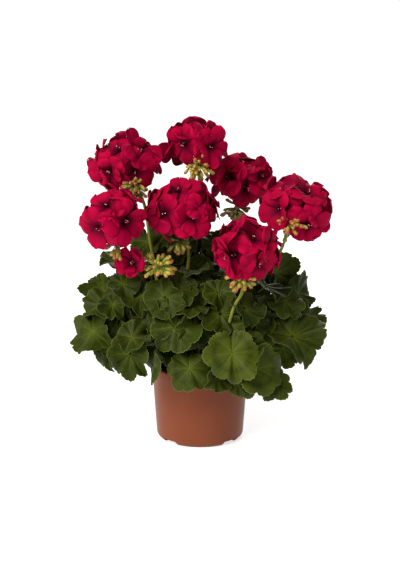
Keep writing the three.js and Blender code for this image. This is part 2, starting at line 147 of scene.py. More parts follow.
def part(points, faces, uv, tone=0.5, material=0, under=0.0, edge=0.0):
    """A loose piece of mesh, before build joins it to others."""
    return dict(points=points.reshape(-1, 3), faces=faces, uv=uv.reshape(-1, 2), tone=tone,
                material=material, under=under, edge=edge)


def thin_sheet(top, thickness, uv, facing, material=0, tone=0.5, edge=None):
    """A closed thin body from its upper skin; facing is roughly where the upper side looks."""
    rows, columns = top.shape[:2]
    normals = grid_normals(top)
    if (normals * facing).sum() < 0:
        normals = -normals
    below = top - normals * (thickness if np.isscalar(thickness) else thickness[..., None])
    count = rows * columns
    upper = grid_faces(rows, columns, False)
    lower = upper[:, ::-1] + count
    ring = np.concatenate([
        np.arange(columns), np.arange(1, rows) * columns + columns - 1,
        (rows - 1) * columns + np.arange(columns - 2, -1, -1), np.arange(rows - 2, 0, -1) * columns])
    after = np.roll(ring, -1)
    rim = np.stack([ring, ring + count, after + count, after], -1)
    edge = np.zeros((rows, columns)) if edge is None else edge
    return part(np.concatenate([top, below]), np.concatenate([upper, lower, rim]), np.concatenate([uv] * 2),
                tone, material, np.repeat([0.0, 1.0], count), np.concatenate([edge.ravel()] * 2))


def spoke_at(turn, first, other):
    """The direction at a turn in the plane of two directions."""
    return math.cos(turn) * first + math.sin(turn) * other


def frames_along(path):
    """Two directions square to a path at each of its points, without twist."""
    tangent = unit(np.gradient(path, axis=0))
    side = unit(np.cross(tangent[0], [0.3, 0.5, 0.81]))
    sides = []
    for way in tangent:
        side = unit(side - way * (side @ way))
        sides.append(side)
    sides = np.array(sides)
    return sides, np.cross(tangent, sides)


def tube(path, radii, sides=8, material=0, tone=0.5, start=0.0, end=1.0):
    """A closed round bar along a path, pinched shut at both ends. Its UV runs from start to end."""
    path = np.asarray(path, float)
    radii = np.broadcast_to(radii, len(path))
    side, other = frames_along(path)
    turn = np.linspace(0, TAU, sides, endpoint=False)
    rings = path[:, None] + radii[:, None, None] * (
        side[:, None] * np.cos(turn)[:, None] + other[:, None] * np.sin(turn)[:, None])
    rings = np.concatenate([np.repeat(path[:1, None], sides, 1), rings, np.repeat(path[-1:, None], sides, 1)])
    rows = len(rings)
    along = np.concatenate([[start], np.linspace(start, end, len(path)), [end]])
    uv = np.stack(np.meshgrid(along, turn / (TAU), indexing="ij"), -1)
    return part(rings, grid_faces(rows, sides, True), uv, tone, material)


def opened(node):
    """The corners, edges and faces of a plain solid, welded."""
    solid = bmesh.new()
    solid.from_mesh(nodes[node].data)
    bmesh.ops.remove_doubles(solid, verts=solid.verts, dist=WELD)
    solid.normal_update()
    return solid


def build(name, parts, materials, stands_for=()):
    """Joins parts to one smooth object that rides on the plant and stands for its plain solids."""
    sizes = [len(p["points"]) for p in parts]
    starts = np.concatenate([[0], np.cumsum(sizes)[:-1]])
    points = np.concatenate([p["points"] for p in parts]) * MM
    faces = np.concatenate([p["faces"] + s for p, s in zip(parts, starts)])
    mesh = bpy.data.meshes.new(name)
    mesh.from_pydata(points, [], faces.tolist())
    uv = np.concatenate([p["uv"] for p in parts])
    mesh.uv_layers.new(name="Shape").data.foreach_set("uv", uv[faces.ravel()].astype(np.float32).ravel())
    for key in ("under", "edge", "tone"):
        values = np.concatenate([np.broadcast_to(p[key], n) for p, n in zip(parts, sizes)])
        mesh.attributes.new(key, "FLOAT", "POINT").data.foreach_set("value", values.astype(np.float32))
    for material in materials:
        mesh.materials.append(material)
    index = np.concatenate([np.full(len(p["faces"]), p["material"]) for p in parts])
    mesh.polygons.foreach_set("material_index", index.astype(np.int32))
    mesh.polygons.foreach_set("use_smooth", np.ones(len(faces), bool))
    tidy = bmesh.new()
    tidy.from_mesh(mesh)
    bmesh.ops.remove_doubles(tidy, verts=tidy.verts, dist=WELD)
    bmesh.ops.recalc_face_normals(tidy, faces=tidy.faces)
    tidy.to_mesh(mesh)
    tidy.free()
    piece = bpy.data.objects.new(name, mesh)
    bpy.context.scene.collection.objects.link(piece)
    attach(piece, "root")
    if stands_for:
        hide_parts(*stands_for)
    return piece


# %% [markdown]
# ## Camera
# The plant is seen from a little above its middle and from just over a metre away, with the long edge
# of the picture upright. A lens of about 62 mm keeps the pot's sides straight, as a catalogue picture
# of a plant does.

# %% Camera
camera = bpy.data.objects.new("camera", bpy.data.cameras.new("camera"))
camera.data.lens = 62.2
camera.data.sensor_width = 36
camera.location = (0, -1.15, 0.4155)
camera.rotation_euler = (math.radians(90 - 11.3), 0, 0)
bpy.context.scene.collection.objects.link(camera)
bpy.context.scene.camera = camera
print("camera at", [round(v, 3) for v in camera.location], "lens", round(camera.data.lens, 1))

# %% [markdown]
# ## Light and floor
# A catalogue plant stands on a light table, a sheet of opal acrylic with lamps below it, so that the
# ground is white and hardly shows a shadow. One broad lamp, high on the left in front, models the
# leaves and the flower heads. It is a sun lamp with a wide angle, which lights the table evenly as far
# as it reaches. The room gives a weaker even light from all round, and is white where it shows behind
# the table. A fill lamp keeps the right side of the pot from going dark, a tall strip lamp on the left
# draws the soft upright highlight on its satin wall, and a lamp behind does for the plant's back.

# %% Light and floor
LAMPS = [  # name, kind, settings, place, aim; the energy of a sun is per square metre
    ("key_lamp", "SUN", dict(energy=3.9, angle=math.radians(36), color=linear("#fffaf0")[:3]),
     (-0.85, -1.0, 1.3), (0, 0, 0.15)),
    ("fill_lamp", "AREA", dict(shape="DISK", size=0.9, energy=1.5, color=linear("#f4f8ff")[:3]),
     (1.4, -1.2, 0.6), (0, 0, 0.2)),
    ("strip_lamp", "AREA", dict(shape="RECTANGLE", size=0.22, size_y=0.8, energy=6),
     (-1.05, -0.9, 0.35), (0, 0, 0.1)),
    ("back_lamp", "AREA", dict(shape="DISK", size=1.2, energy=22), (0.5, 1.7, 1.2), (0, 0, 0.2))]
for name, kind, settings, place, aim in LAMPS:
    lamp = bpy.data.lights.new(name, kind)
    for key, value in settings.items():
        setattr(lamp, key, value)
    holder = bpy.data.objects.new(name, lamp)
    holder.location = place
    holder.rotation_euler = (Vector(aim) - Vector(place)).to_track_quat("-Z", "Y").to_euler()
    bpy.context.scene.collection.objects.link(holder)
print("lamps:", ", ".join(row[0] for row in LAMPS))

ROOM_LIGHT = 0.38  # how strongly the white room lights the plant
BACKDROP = 1.1  # how bright it is where it shows
world = bpy.data.worlds.new("white_studio")
world.use_nodes = True
room = world.node_tree
seen = add(room, "LightPath").outputs["Is Camera Ray"]
strength = add(room, "MapRange", {1: 0.0, 2: 1.0, 3: ROOM_LIGHT, 4: BACKDROP}, Value=seen)
room.nodes["Background"].inputs["Color"].default_value = linear("#ffffff")
wire(room.nodes["Background"], Strength=strength)
bpy.context.scene.world = world
bpy.context.scene.view_settings.view_transform = "Standard"

opal, tree, shader = new_material("opal_acrylic_light_table", Roughness=0.6, Specular_IOR_Level=0.1)
grain = add(tree, "TexNoise", {"Scale": 900.0, "Detail": 2.0})
opal_colour = ramp(tree, grain, [(0.3, "#bcbcba"), (0.7, "#c0c0be")])
wire(shader, Base_Color=opal_colour)
shader.inputs["Emission Color"].default_value = linear("#ffffff")
shader.inputs["Emission Strength"].default_value = 0.66
floor_mesh = bpy.data.meshes.new("studio_floor")
floor_mesh.from_pydata([(-9, -6, 0), (9, -6, 0), (9, 12, 0), (-9, 12, 0)], [], [(0, 1, 2, 3)])
floor_mesh.materials.append(opal)
floor = bpy.data.objects.new("studio_floor", floor_mesh)
bpy.context.scene.collection.objects.link(floor)

# %% [markdown]
# ## The pot
# A grower's pot is polypropylene, injection moulded in one shot: a thin wall, a rolled collar that
# stiffens the rim, a chamfered foot with four notches that let water out. It is a turned shape, so its
# outline is turned round the middle in many steps, with rounded corners in the outline itself, and the
# notches lift the foot's edge where they are. Its rim, height and foot are read from the plain solid. The
# smaller sizes, such as the wall and the notches, are written here to match it.

# %% Pot mesh
pot_low, pot_high = (np.array(corner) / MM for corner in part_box("pot"))
RIM_RADIUS = (pot_high[0] - pot_low[0]) / 2
POT_HEIGHT = pot_high[2]
pot_points = np.array([v.co for v in nodes["pot"].data.vertices]) / MM
foot_ring = pot_points[pot_points[:, 2] < 0.01]
FOOT_RADIUS = np.hypot(foot_ring[:, 0], foot_ring[:, 1]).max()
NOTCH_HEIGHT = 5.0
NOTCH_HALF = 10.8  # half of a notch's width, along the foot
COLLAR = 10.0  # height of the collar
STEP = 1.6  # how far it stands out
WALL = 1.4
CHAMFER = 4  # the foot's edge is cut off by this much
FOOT_WIDTH = 3  # width of the ring that it stands on
FLOOR_UNDER, FLOOR_TOP = 6, 7.4  # the two sides of the pot's floor
DRAIN_RADIUS = 4  # of the hole in its middle
print("pot: rim radius", round(RIM_RADIUS, 2), "height", round(POT_HEIGHT, 2), "foot", round(FOOT_RADIUS, 2))


def rounded(corners, steps=5):
    """An outline whose corners (radius, height, rounding) are replaced by short arcs."""
    points = []
    count = len(corners)
    for i, (r, z, size) in enumerate(corners):
        here = np.array([r, z], float)
        before, after = (np.array(corners[(i + d) % count][:2], float) for d in (-1, 1))
        a = here + unit(before - here) * min(size, 0.45 * np.linalg.norm(before - here))
        b = here + unit(after - here) * min(size, 0.45 * np.linalg.norm(after - here))
        for t in np.linspace(0, 1, steps):
            points.append((1 - t) ** 2 * a + 2 * t * (1 - t) * here + t * t * b)
    return np.array(points)


def wall_radius(z):
    """The outer radius of the tapered wall at a height."""
    taper = (z - CHAMFER) / (POT_HEIGHT - CHAMFER)
    return FOOT_RADIUS + CHAMFER + (RIM_RADIUS - STEP - FOOT_RADIUS - CHAMFER) * taper


outline = rounded([
    (FOOT_RADIUS - FOOT_WIDTH, 0, 0.6), (FOOT_RADIUS, 0, 1.0), (FOOT_RADIUS + CHAMFER, CHAMFER, 2.2),
    (wall_radius(30), 30, 1), (wall_radius(55), 55, 1),
    (wall_radius(POT_HEIGHT - COLLAR), POT_HEIGHT - COLLAR, 0.5),
    (RIM_RADIUS - 0.4, POT_HEIGHT - COLLAR, 0.6), (RIM_RADIUS, POT_HEIGHT - 1.4, 1.2),
    (RIM_RADIUS - 0.8, POT_HEIGHT, 0.7), (RIM_RADIUS - STEP - WALL, POT_HEIGHT, 0.7),
    (wall_radius(60) - WALL, 60, 1), (wall_radius(FLOOR_TOP) - WALL, FLOOR_TOP, 2),
    (DRAIN_RADIUS, FLOOR_TOP, 0.3), (DRAIN_RADIUS, FLOOR_UNDER, 0.3),
    (FOOT_RADIUS - FOOT_WIDTH, FLOOR_UNDER, 0.5)])
TURNS = 360
turn = np.linspace(0, TAU, TURNS, endpoint=False)
from_notch = np.abs(turn % (math.pi / 2) - math.pi / 4) * FOOT_RADIUS
lift = NOTCH_HEIGHT * np.clip((NOTCH_HALF - from_notch) / 1.2, 0, 1)
pot_grid = np.zeros((len(outline), TURNS, 3))
for row, (r, z) in enumerate(outline):
    if z < NOTCH_HEIGHT and r > FOOT_RADIUS - 4:
        height = np.maximum(z, lift)
        lifted = np.maximum(r, FOOT_RADIUS + height) if r >= FOOT_RADIUS - 1 else r  # follows the chamfer
        radius = np.where(height > z, np.minimum(lifted, wall_radius(0) + height * 0.07), r)
    else:
        height, radius = z, r
    pot_grid[row] = np.stack([radius * np.cos(turn), radius * np.sin(turn), height + 0 * turn], -1)
closed_rows = np.concatenate([pot_grid, pot_grid[:1]])
pot_uv = np.stack(np.meshgrid(np.linspace(0, 1, len(closed_rows)), turn / (TAU), indexing="ij"), -1)
pot_part = part(closed_rows, grid_faces(len(closed_rows), TURNS, True), pot_uv)
print("pot outline points:", len(outline), "turned in", TURNS, "steps")

# %% [markdown]
# The plastic is polypropylene coloured right through with iron-oxide pigment. The mould gives it a
# satin skin: long soft reflections and a faint vertical drag from being pushed out of the mould, with a
# little dust and splashed peat low down.

# %% Moulded polypropylene
plastic, tree, shader = new_material(
    "moulded_terracotta_polypropylene", IOR=1.49, Roughness=0.4, Specular_IOR_Level=0.14)
place = add(tree, "TexCoord").outputs["Object"]
cloud = add(tree, "TexNoise", {"Scale": 22.0, "Detail": 4.0, "Roughness": 0.6}, Vector=place)
pigment = ramp(tree, cloud, [(0.3, "#6a341e"), (0.7, "#713923")])
drag_place = add(tree, "Mapping", {"Scale": (1.0, 1.0, 0.04)}, Vector=place)
drag = add(tree, "TexNoise", {"Scale": 700.0, "Detail": 3.0}, Vector=drag_place)
height = add(tree, "SeparateXYZ", Vector=place)
low = add(tree, "MapRange", {1: 0.0, 2: 0.02, 3: 0.5, 4: 0.0}, Value=height.outputs["Z"])
specks = add(tree, "TexNoise", {"Scale": 260.0, "Detail": 5.0, "Roughness": 0.7}, Vector=place)
dusty = add(tree, "MapRange", {1: 0.55, 2: 0.75, 3: 0.0, 4: 1.0}, Value=specks)
dirt = add(tree, "Math", {"operation": "MULTIPLY"}, i0=low, i1=dusty)
stained = add(tree, "Mix", {"data_type": "RGBA", 7: linear("#4e2f22")},
              i0=dirt, i6=pigment)
wire(shader, Base_Color=stained.outputs[2])
satin = add(tree, "MapRange", {1: 0.3, 2: 0.7, 3: 0.34, 4: 0.44}, Value=drag)
wire(shader, Roughness=satin)
skin = add(tree, "Bump", {"Strength": 0.12, "Distance": 0.0003}, Height=drag)
wire(shader, Normal=skin)
pot = build("grower_pot", [pot_part], [plastic], ["pot"])
print("pot faces:", len(pot.data.polygons))

# %% [markdown]
# ## Potting mix
# Peat-based mix is dark and crumbly, with fibres and a few white perlite grains. The bulk is a disc
# with a lumpy top that fills the pot up to its solid's height, and loose crumbs lie over it.

# %% Potting mix
soil_low, soil_high = (np.array(corner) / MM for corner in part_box("potting_soil"))
SOIL_RADIUS = (soil_high[0] - soil_low[0]) / 2
SOIL_TOP = soil_high[2]


SOIL_SIDES = 120
TOP_ROWS = 40  # rings over the top, before two more that close its side and its underside
CROWN = 4  # how much higher the middle is
GRAINS = 420


def soil_height(x, y):
    """The height of the mix at a place, higher in the middle and lumpy."""
    crown = CROWN * (1 - (x * x + y * y) / SOIL_RADIUS ** 2)
    lumps = noise.fractal(Vector((x, y, 3.0)) * 0.11, 0.6, 2.0, 4)
    return SOIL_TOP - CROWN + crown + 1.1 * lumps


soil_rows = []
soil_turns = np.linspace(0, TAU, SOIL_SIDES, endpoint=False)
for share, depth in [(share, 0) for share in np.linspace(0, 1, TOP_ROWS)] + [(1.0, 30), (0.99, 60)]:
    radius = SOIL_RADIUS * share - depth * 0.06
    ring = [(radius * math.cos(a), radius * math.sin(a)) for a in soil_turns]
    soil_rows.append([(x, y, soil_height(x, y) if depth == 0 else SOIL_TOP - CROWN - depth) for x, y in ring])
soil_grid = np.array(soil_rows)
soil_parts = [part(soil_grid, grid_faces(len(soil_rows), SOIL_SIDES, True), soil_grid[..., :2] / 100, 0.3)]


def lump(place, size, seed, material=0, tone=0.5):
    """A small uneven grain."""
    lat, lon = np.meshgrid(np.linspace(-math.pi / 2, math.pi / 2, 5),
                           np.linspace(0, TAU, 6, endpoint=False), indexing="ij")
    ball = np.stack([np.cos(lat) * np.cos(lon), np.cos(lat) * np.sin(lon), np.sin(lat)], -1)
    chance = np.random.default_rng(seed)
    ball = ball * (1 + 0.35 * chance.uniform(-1, 1, (5, 6, 1)) * np.cos(lat)[..., None] ** 0.5)
    ball = ball * np.array(size) * chance.uniform(0.7, 1.3, 3) + place
    return part(ball, grid_faces(5, 6, True), ball[..., :2] / 100, tone, material)


for i in range(GRAINS):
    a, r = rng.uniform(0, TAU), (SOIL_RADIUS - 3) * math.sqrt(rng.uniform(0, 1))
    x, y = r * math.cos(a), r * math.sin(a)
    size = rng.uniform(0.6, 1.9)
    perlite = rng.random() < 0.07
    soil_parts.append(lump((x, y, soil_height(x, y) + 0.2 * size), (size, size, size * 0.7), i,
                           material=1 if perlite else 0, tone=rng.random()))

peat, tree, shader = new_material("crumbly_peat_mix", Roughness=0.95, Specular_IOR_Level=0.2)
place = add(tree, "TexCoord").outputs["Object"]
crumbs = add(tree, "TexNoise", {"Scale": 420.0, "Detail": 6.0, "Roughness": 0.7}, Vector=place)
peat_colour = ramp(tree, crumbs, [(0.3, "#1a120c"), (0.55, "#3a2a1d"), (0.75, "#57432f")])
wire(shader, Base_Color=peat_colour)
rough = add(tree, "Bump", {"Strength": 0.8, "Distance": 0.001}, Height=crumbs)
wire(shader, Normal=rough)
perlite, tree, shader = new_material("expanded_perlite", Roughness=0.85)
pores = add(tree, "TexNoise", {"Scale": 900.0, "Detail": 3.0})
wire(shader, Base_Color=ramp(tree, pores, [(0.3, "#b9b2a3"), (0.7, "#ddd8cc")]))
soil = build("potting_mix", soil_parts, [peat, perlite], ["potting_soil"])
print("potting mix: top at", round(SOIL_TOP, 1), "mm,", len(soil_parts) - 1, "grains")

# %% [markdown]
# ## Stems and stalks
# An older geranium stem is green, thick and soft, and turns corky brown low down, with rings where
# leaves have dropped. The plain solids already have the right course, so each is copied and rounded by
# a subdivision surface. That makes it a little thinner, so it is swollen back, unevenly along its
# length. A voxel remesh would do as well, but takes over a minute on shapes this long and thin.

# %% Stem and stalk materials
def stem_material(name, low_colour, high_colour, from_height, to_height, fibre):
    """A stem skin that changes from one colour to another with its height in millimetres."""
    material, tree, shader = new_material(name, Roughness=0.6, IOR=1.4, Specular_IOR_Level=0.2)
    place = add(tree, "TexCoord").outputs["Object"]
    height = add(tree, "SeparateXYZ", Vector=place)
    age = add(tree, "MapRange", {1: from_height * MM, 2: to_height * MM, 3: 0.0, 4: 1.0},
              Value=height.outputs["Z"])
    stretched = add(tree, "Mapping", {"Scale": (1.0, 1.0, 0.12)}, Vector=place)
    fibres = add(tree, "TexNoise", {"Scale": fibre, "Detail": 4.0}, Vector=stretched)
    uneven = add(tree, "Math", {"operation": "MULTIPLY_ADD", 1: 0.5, 2: -0.25}, i0=fibres)
    mixed = add(tree, "Math", {"operation": "ADD", "use_clamp": True}, i0=age,
                i1=uneven)
    colour = ramp(tree, mixed, [(0.0, low_colour), (1.0, high_colour)])
    wire(shader, Base_Color=colour)
    bump = add(tree, "Bump", {"Strength": 0.35, "Distance": 0.0004}, Height=fibres)
    wire(shader, Normal=bump)
    return material


bark = stem_material("semi_woody_geranium_stem", "#3a2c1b", "#3d4418", 85, 150, 900.0)
stalk_skin = stem_material("hairy_flower_stalk", "#686f24", "#6a6426", 150, 300, 1400.0)


def grow_smooth(node, name, swell, material):
    """A copy of a plain stem, subdivided and swollen back to its thickness, that stands for it."""
    piece = bpy.data.objects.new(name, nodes[node].data.copy())
    bpy.context.scene.collection.objects.link(piece)
    weld = piece.modifiers.new("weld", "WELD")
    weld.merge_threshold = WELD
    round_off = piece.modifiers.new("round_off", "SUBSURF")
    round_off.levels = 2
    shaped = bpy.data.meshes.new_from_object(piece.evaluated_get(bpy.context.evaluated_depsgraph_get()))
    piece.modifiers.clear()
    piece.data = shaped
    shaped.name = name
    normals = [vertex.normal.copy() for vertex in shaped.vertices]
    for vertex, normal in zip(shaped.vertices, normals):
        rings = 0.3 * noise.noise(Vector((vertex.co.x * 40, vertex.co.y * 40, vertex.co.z * 260)))
        vertex.co = vertex.co + normal * (swell * (1 + rings)) * MM
    shaped.polygons.foreach_set("use_smooth", np.ones(len(shaped.polygons), bool))
    shaped.materials.clear()
    shaped.materials.append(material)
    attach(piece, "root")
    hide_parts(node)
    return piece


# %% [markdown]
# The trunk and its branches are one piece, as they grew. Each flower stalk is a piece of its own, thinner
# and so swollen by less.

# %% Stem and stalks
stem = grow_smooth("main_stem", "branching_stem", 0.5, bark)
for node in sorted(n for n in nodes if n.startswith("stalk_")):
    stalk = grow_smooth(node, "flower_" + node, 0.35, stalk_skin)
print("stem faces:", len(stem.data.polygons), "last stalk faces:", len(stalk.data.polygons))

# %% [markdown]
# ## Reading the leaves
# Each plain leaf is a sixteen-sided blade on its petiole. The corner where all sixteen sectors meet is
# the joint, and how the ring of corners round it lies gives the leaf's size, its two directions and
# how far it is cupped. The far end of the solid is where the petiole leaves its branch.

# %% Reading a leaf
SECTORS = 16
RING = 0.5  # share of the reach where the ring of corners lies
SINUS = 0.14  # share of the reach left at the slit where the petiole comes in


def farthest(corner):
    """The corner of a mesh that is most edges away from another one, and how many."""
    steps = {corner: 0}
    front = [corner]
    while front:
        ahead = []
        for here in front:
            for edge in here.link_edges:
                other = edge.other_vert(here)
                if other not in steps:
                    steps[other] = steps[here] + 1
                    ahead.append(other)
        front = ahead
    last = max(steps, key=lambda other: (steps[other], (other.co - corner.co).length))
    return last, steps[last]


def read_leaf(name):
    """The joint, two directions, reach, cup and petiole foot of a plain leaf, in millimetres."""
    solid = opened(name)
    hubs = [v for v in solid.verts if len(v.link_edges) >= SECTORS]
    joint, foot_corner = max(((hub, *farthest(hub)) for hub in hubs), key=lambda found: found[2])[:2]
    centre = np.array(joint.co) / MM
    ring = [e.other_vert(joint) for e in joint.link_edges]
    offsets = np.array([v.co for v in ring]) / MM - centre
    normal = unit(sum((np.array(f.normal) * f.calc_area() for f in joint.link_faces)))
    first = offsets[np.argmin(np.linalg.norm(offsets, axis=1))]
    first = unit(first - normal * (first @ normal))
    turns = np.arctan2(-(np.cross(first, offsets) @ normal), offsets @ first) % (TAU)
    turns[np.argmin(np.linalg.norm(offsets, axis=1))] = 0
    offsets = offsets[np.argsort(turns)]
    angle = math.pi - TAU * np.arange(SECTORS) / SECTORS
    share = np.where(np.arange(SECTORS) % 2 == 0, 1, 0.93) * (1 - 0.26 * ((1 - np.cos(angle)) / 2) ** 1.5)
    share[0] = SINUS
    share = share * RING
    basis = np.stack([share * np.cos(angle), share * np.sin(angle), share ** 2], 1)
    along, across, rise = np.linalg.lstsq(basis, offsets, rcond=None)[0]
    misfit = np.abs(basis @ np.stack([along, across, rise]) - offsets).max()
    foot = [v for v in solid.verts if (v.co - foot_corner.co).length < 3.2 * MM]
    cap = min((f for v in foot for f in v.link_faces if all(w in foot for w in f.verts)),
              key=lambda f: f.normal.dot(joint.co - foot_corner.co))
    reach = (np.linalg.norm(along) + np.linalg.norm(across)) / 2
    leaf = dict(name=name, joint=centre, tip=unit(along), across=unit(across), reach=reach,
                normal=unit(np.cross(along, across)), foot=np.mean([v.co for v in foot], 0) / MM,
                away=-np.array(cap.normal), misfit=misfit, corners=len(foot))
    leaf["cup"] = (rise @ leaf["normal"]) / reach
    solid.free()
    return leaf


leaves = [read_leaf(name) for name in sorted(n for n in nodes if n.startswith("leaf_"))]
reaches = [leaf["reach"] for leaf in leaves]
print("leaves:", len(leaves), "reach", round(min(reaches), 1), "to", round(max(reaches), 1), "mm")
print("worst misfit", round(max(leaf["misfit"] for leaf in leaves), 3), "mm, feet with",
      sorted({leaf["corners"] for leaf in leaves}), "corners")

# %% [markdown]
# ## Leaf surface
# A zonal geranium's blade is thick, soft and covered in fine short hairs, which scatter light at a
# grazing angle like velvet. Seven paler veins run from the joint to the lobes and fork twice on the
# way. Between them lies a fine net of veins, a faint darker zone crosses the middle of the blade and
# the margin is thin and pale, its pale line partly a painted rim highlight. The underside is a matt
# grey-green. The blade's own UV map is its plan, so the veins are drawn in it by angle and distance
# from the joint, and the shader stays sharp.

# %% Zonal geranium leaf
def leaf_material(name, deep, middle, young, vein_colour, under_colour):
    material, tree, shader = new_material(
        name, Roughness=0.44, IOR=1.45, Specular_IOR_Level=0.08, Sheen_Weight=0.02, Sheen_Roughness=0.4)
    shader.inputs["Sheen Tint"].default_value = linear("#b9c584")
    plan = add(tree, "UVMap", {"uv_map": "Shape"}).outputs["UV"]
    centred = add(tree, "VectorMath", {"operation": "MULTIPLY_ADD", 1: (2, 2, 0), 2: (-1, -1, 0)}, i0=plan)
    wander = add(tree, "TexNoise", {"Scale": 5.0, "Detail": 2.0}, Vector=plan)
    reach = add(tree, "VectorMath", {"operation": "LENGTH"}, i0=centred).outputs["Value"]
    axes = add(tree, "SeparateXYZ", Vector=centred)
    angle = add(tree, "Math", {"operation": "ARCTAN2"}, i0=axes.outputs["Y"], i1=axes.outputs["X"])
    bent = add(tree, "Math", {"operation": "MULTIPLY_ADD", 1: 0.22}, i0=wander,
               i2=angle)
    bent = add(tree, "Math", {"operation": "SUBTRACT", 1: 0.11}, i0=bent)
    off_vein = add(tree, "Math", {"operation": "PINGPONG", 1: math.pi / 8}, i0=bent)

    def vein(fork_from, spread, width):
        """A soft line along the lobe's vein, or along its fork beyond a distance from the joint."""
        fork = add(tree, "MapRange", {1: fork_from, 2: 1.0, 3: 0.0, 4: spread}, Value=reach)
        apart = add(tree, "Math", {"operation": "SUBTRACT"}, i0=off_vein, i1=fork)
        apart = add(tree, "Math", {"operation": "ABSOLUTE"}, i0=apart)
        distance = add(tree, "Math", {"operation": "MULTIPLY"}, i0=apart, i1=reach)
        return add(tree, "MapRange", {"interpolation_type": "SMOOTHSTEP", 1: 0.0, 2: width, 3: 1.0, 4: 0.0},
                   Value=distance)

    main = vein(1.2, 0.0, 0.04)
    forks = vein(0.35, 0.2, 0.03)
    twigs = vein(0.55, 0.34, 0.025)
    veins = add(tree, "Math", {"operation": "MAXIMUM"}, i0=main, i1=forks)
    twigs = add(tree, "Math", {"operation": "MULTIPLY", 1: 0.6}, i0=twigs)
    veins = add(tree, "Math", {"operation": "MAXIMUM"}, i0=veins, i1=twigs)
    net = add(tree, "TexVoronoi", {"feature": "DISTANCE_TO_EDGE", "Scale": 16.0}, Vector=plan)
    net = add(tree, "MapRange", {1: 0.0, 2: 0.12, 3: 0.12, 4: 0.0}, Value=net)

    tone = point_value(tree, "tone")
    under = point_value(tree, "under")
    edge = point_value(tree, "edge")
    patches = add(tree, "TexNoise", {"Scale": 3.0, "Detail": 4.0, "Roughness": 0.6}, Vector=plan)
    age = add(tree, "Math", {"operation": "MULTIPLY_ADD", 1: 0.5}, i0=patches, i2=tone)
    age = add(tree, "MapRange", {1: 0.2, 2: 1.3, 3: 0.0, 4: 1.0}, Value=age)
    ground = ramp(tree, age, [(0.0, deep), (0.55, middle), (1.0, young)])
    middle_glow = add(tree, "MapRange", {"interpolation_type": "SMOOTHSTEP", 1: 0.0, 2: 0.42, 3: 0.7, 4: 0.0},
                      Value=reach)
    ground = add(tree, "Mix", {"data_type": "RGBA", 7: linear(young)}, i0=middle_glow, i6=ground)
    band = add(tree, "MapRange", {"interpolation_type": "SMOOTHSTEP", 1: 0.0, 2: 0.2, 3: 0.6, 4: 0.0})
    from_band = add(tree, "Math", {"operation": "SUBTRACT", 1: 0.6}, i0=reach)
    from_band = add(tree, "Math", {"operation": "ABSOLUTE"}, i0=from_band)
    wire(band, i0=from_band)
    zoned = add(tree, "Mix", {"data_type": "RGBA", 7: linear(deep)}, i0=band, i6=ground.outputs[2])
    netted = add(tree, "Mix", {"data_type": "RGBA", 7: linear(vein_colour)}, i0=net,
                 i6=zoned.outputs[2])
    fading = add(tree, "MapRange", {1: 0.1, 2: 0.9, 3: 0.30, 4: 0.10}, Value=reach)
    strength = add(tree, "Math", {"operation": "MULTIPLY"}, i0=veins, i1=fading)
    veined = add(tree, "Mix", {"data_type": "RGBA", 7: linear(vein_colour)}, i0=strength,
                 i6=netted.outputs[2])
    # The pale line along the margin is partly the leaf's own pale hairy edge and partly a painted rim
    # highlight.
    pale_margin_and_rim_highlight = add(tree, "MapRange", {1: 0.97, 2: 0.995, 3: 0.0, 4: 0.4}, Value=edge)
    margin_and_rim_highlight_mix = add(tree, "Mix", {"data_type": "RGBA", 7: linear("#7d8848")}, i0=pale_margin_and_rim_highlight,
                   i6=veined.outputs[2])
    below = add(tree, "Mix", {"data_type": "RGBA", 7: linear(vein_colour)}, i0=strength)
    below.inputs[6].default_value = linear(under_colour)
    sided = add(tree, "Mix", {"data_type": "RGBA"}, i0=under, i6=margin_and_rim_highlight_mix.outputs[2], i7=below.outputs[2])
    wire(shader, Base_Color=sided.outputs[2])
    relief = add(tree, "Math", {"operation": "MAXIMUM"}, i0=veins, i1=net)
    bump = add(tree, "Bump", {"Strength": 0.5, "Distance": 0.0006, "invert": True}, Height=relief)
    wire(shader, Normal=bump)
    return material


blade_skin = leaf_material("hairy_zonal_leaf", "#1c2304", "#2c3508", "#3f490d", "#555f1a", "#3d4728")
petiole_skin, tree, shader = new_material("hairy_petiole", Roughness=0.6, Specular_IOR_Level=0.15,
                                          Sheen_Weight=0.05, Sheen_Roughness=0.4)
along = add(tree, "UVMap", {"uv_map": "Shape"})
along = add(tree, "SeparateXYZ", Vector=along.outputs["UV"])
mottle = add(tree, "TexNoise", {"Scale": 600.0, "Detail": 3.0})
mottled = add(tree, "Math", {"operation": "MULTIPLY_ADD", 1: 0.5}, i0=mottle,
              i2=along.outputs["X"])
petiole_colour = ramp(tree, mottled, [(0.15, "#48441c"), (0.6, "#4c561c"), (1.0, "#5d6726")])
wire(shader, Base_Color=petiole_colour)

# %% [markdown]
# ## Leaf blades
# The outline has seven shallow lobes with about five scallops each, and a narrow slit, the sinus, runs
# in to the joint from the back. The blade dips along its veins and swells between them, so it is
# pleated like a fan towards the margin. Each blade waves in its own way, and its lobes are drawn apart
# or together, with their veins. One rule of distance and angle gives all of that; the cup, reach and
# directions are those of the plain solid it replaces.

# %% Leaf blades
LOBES = np.radians([-135, -90, -45, 0, 45, 90, 135])
ROUNDED_BY = math.radians(20.0)


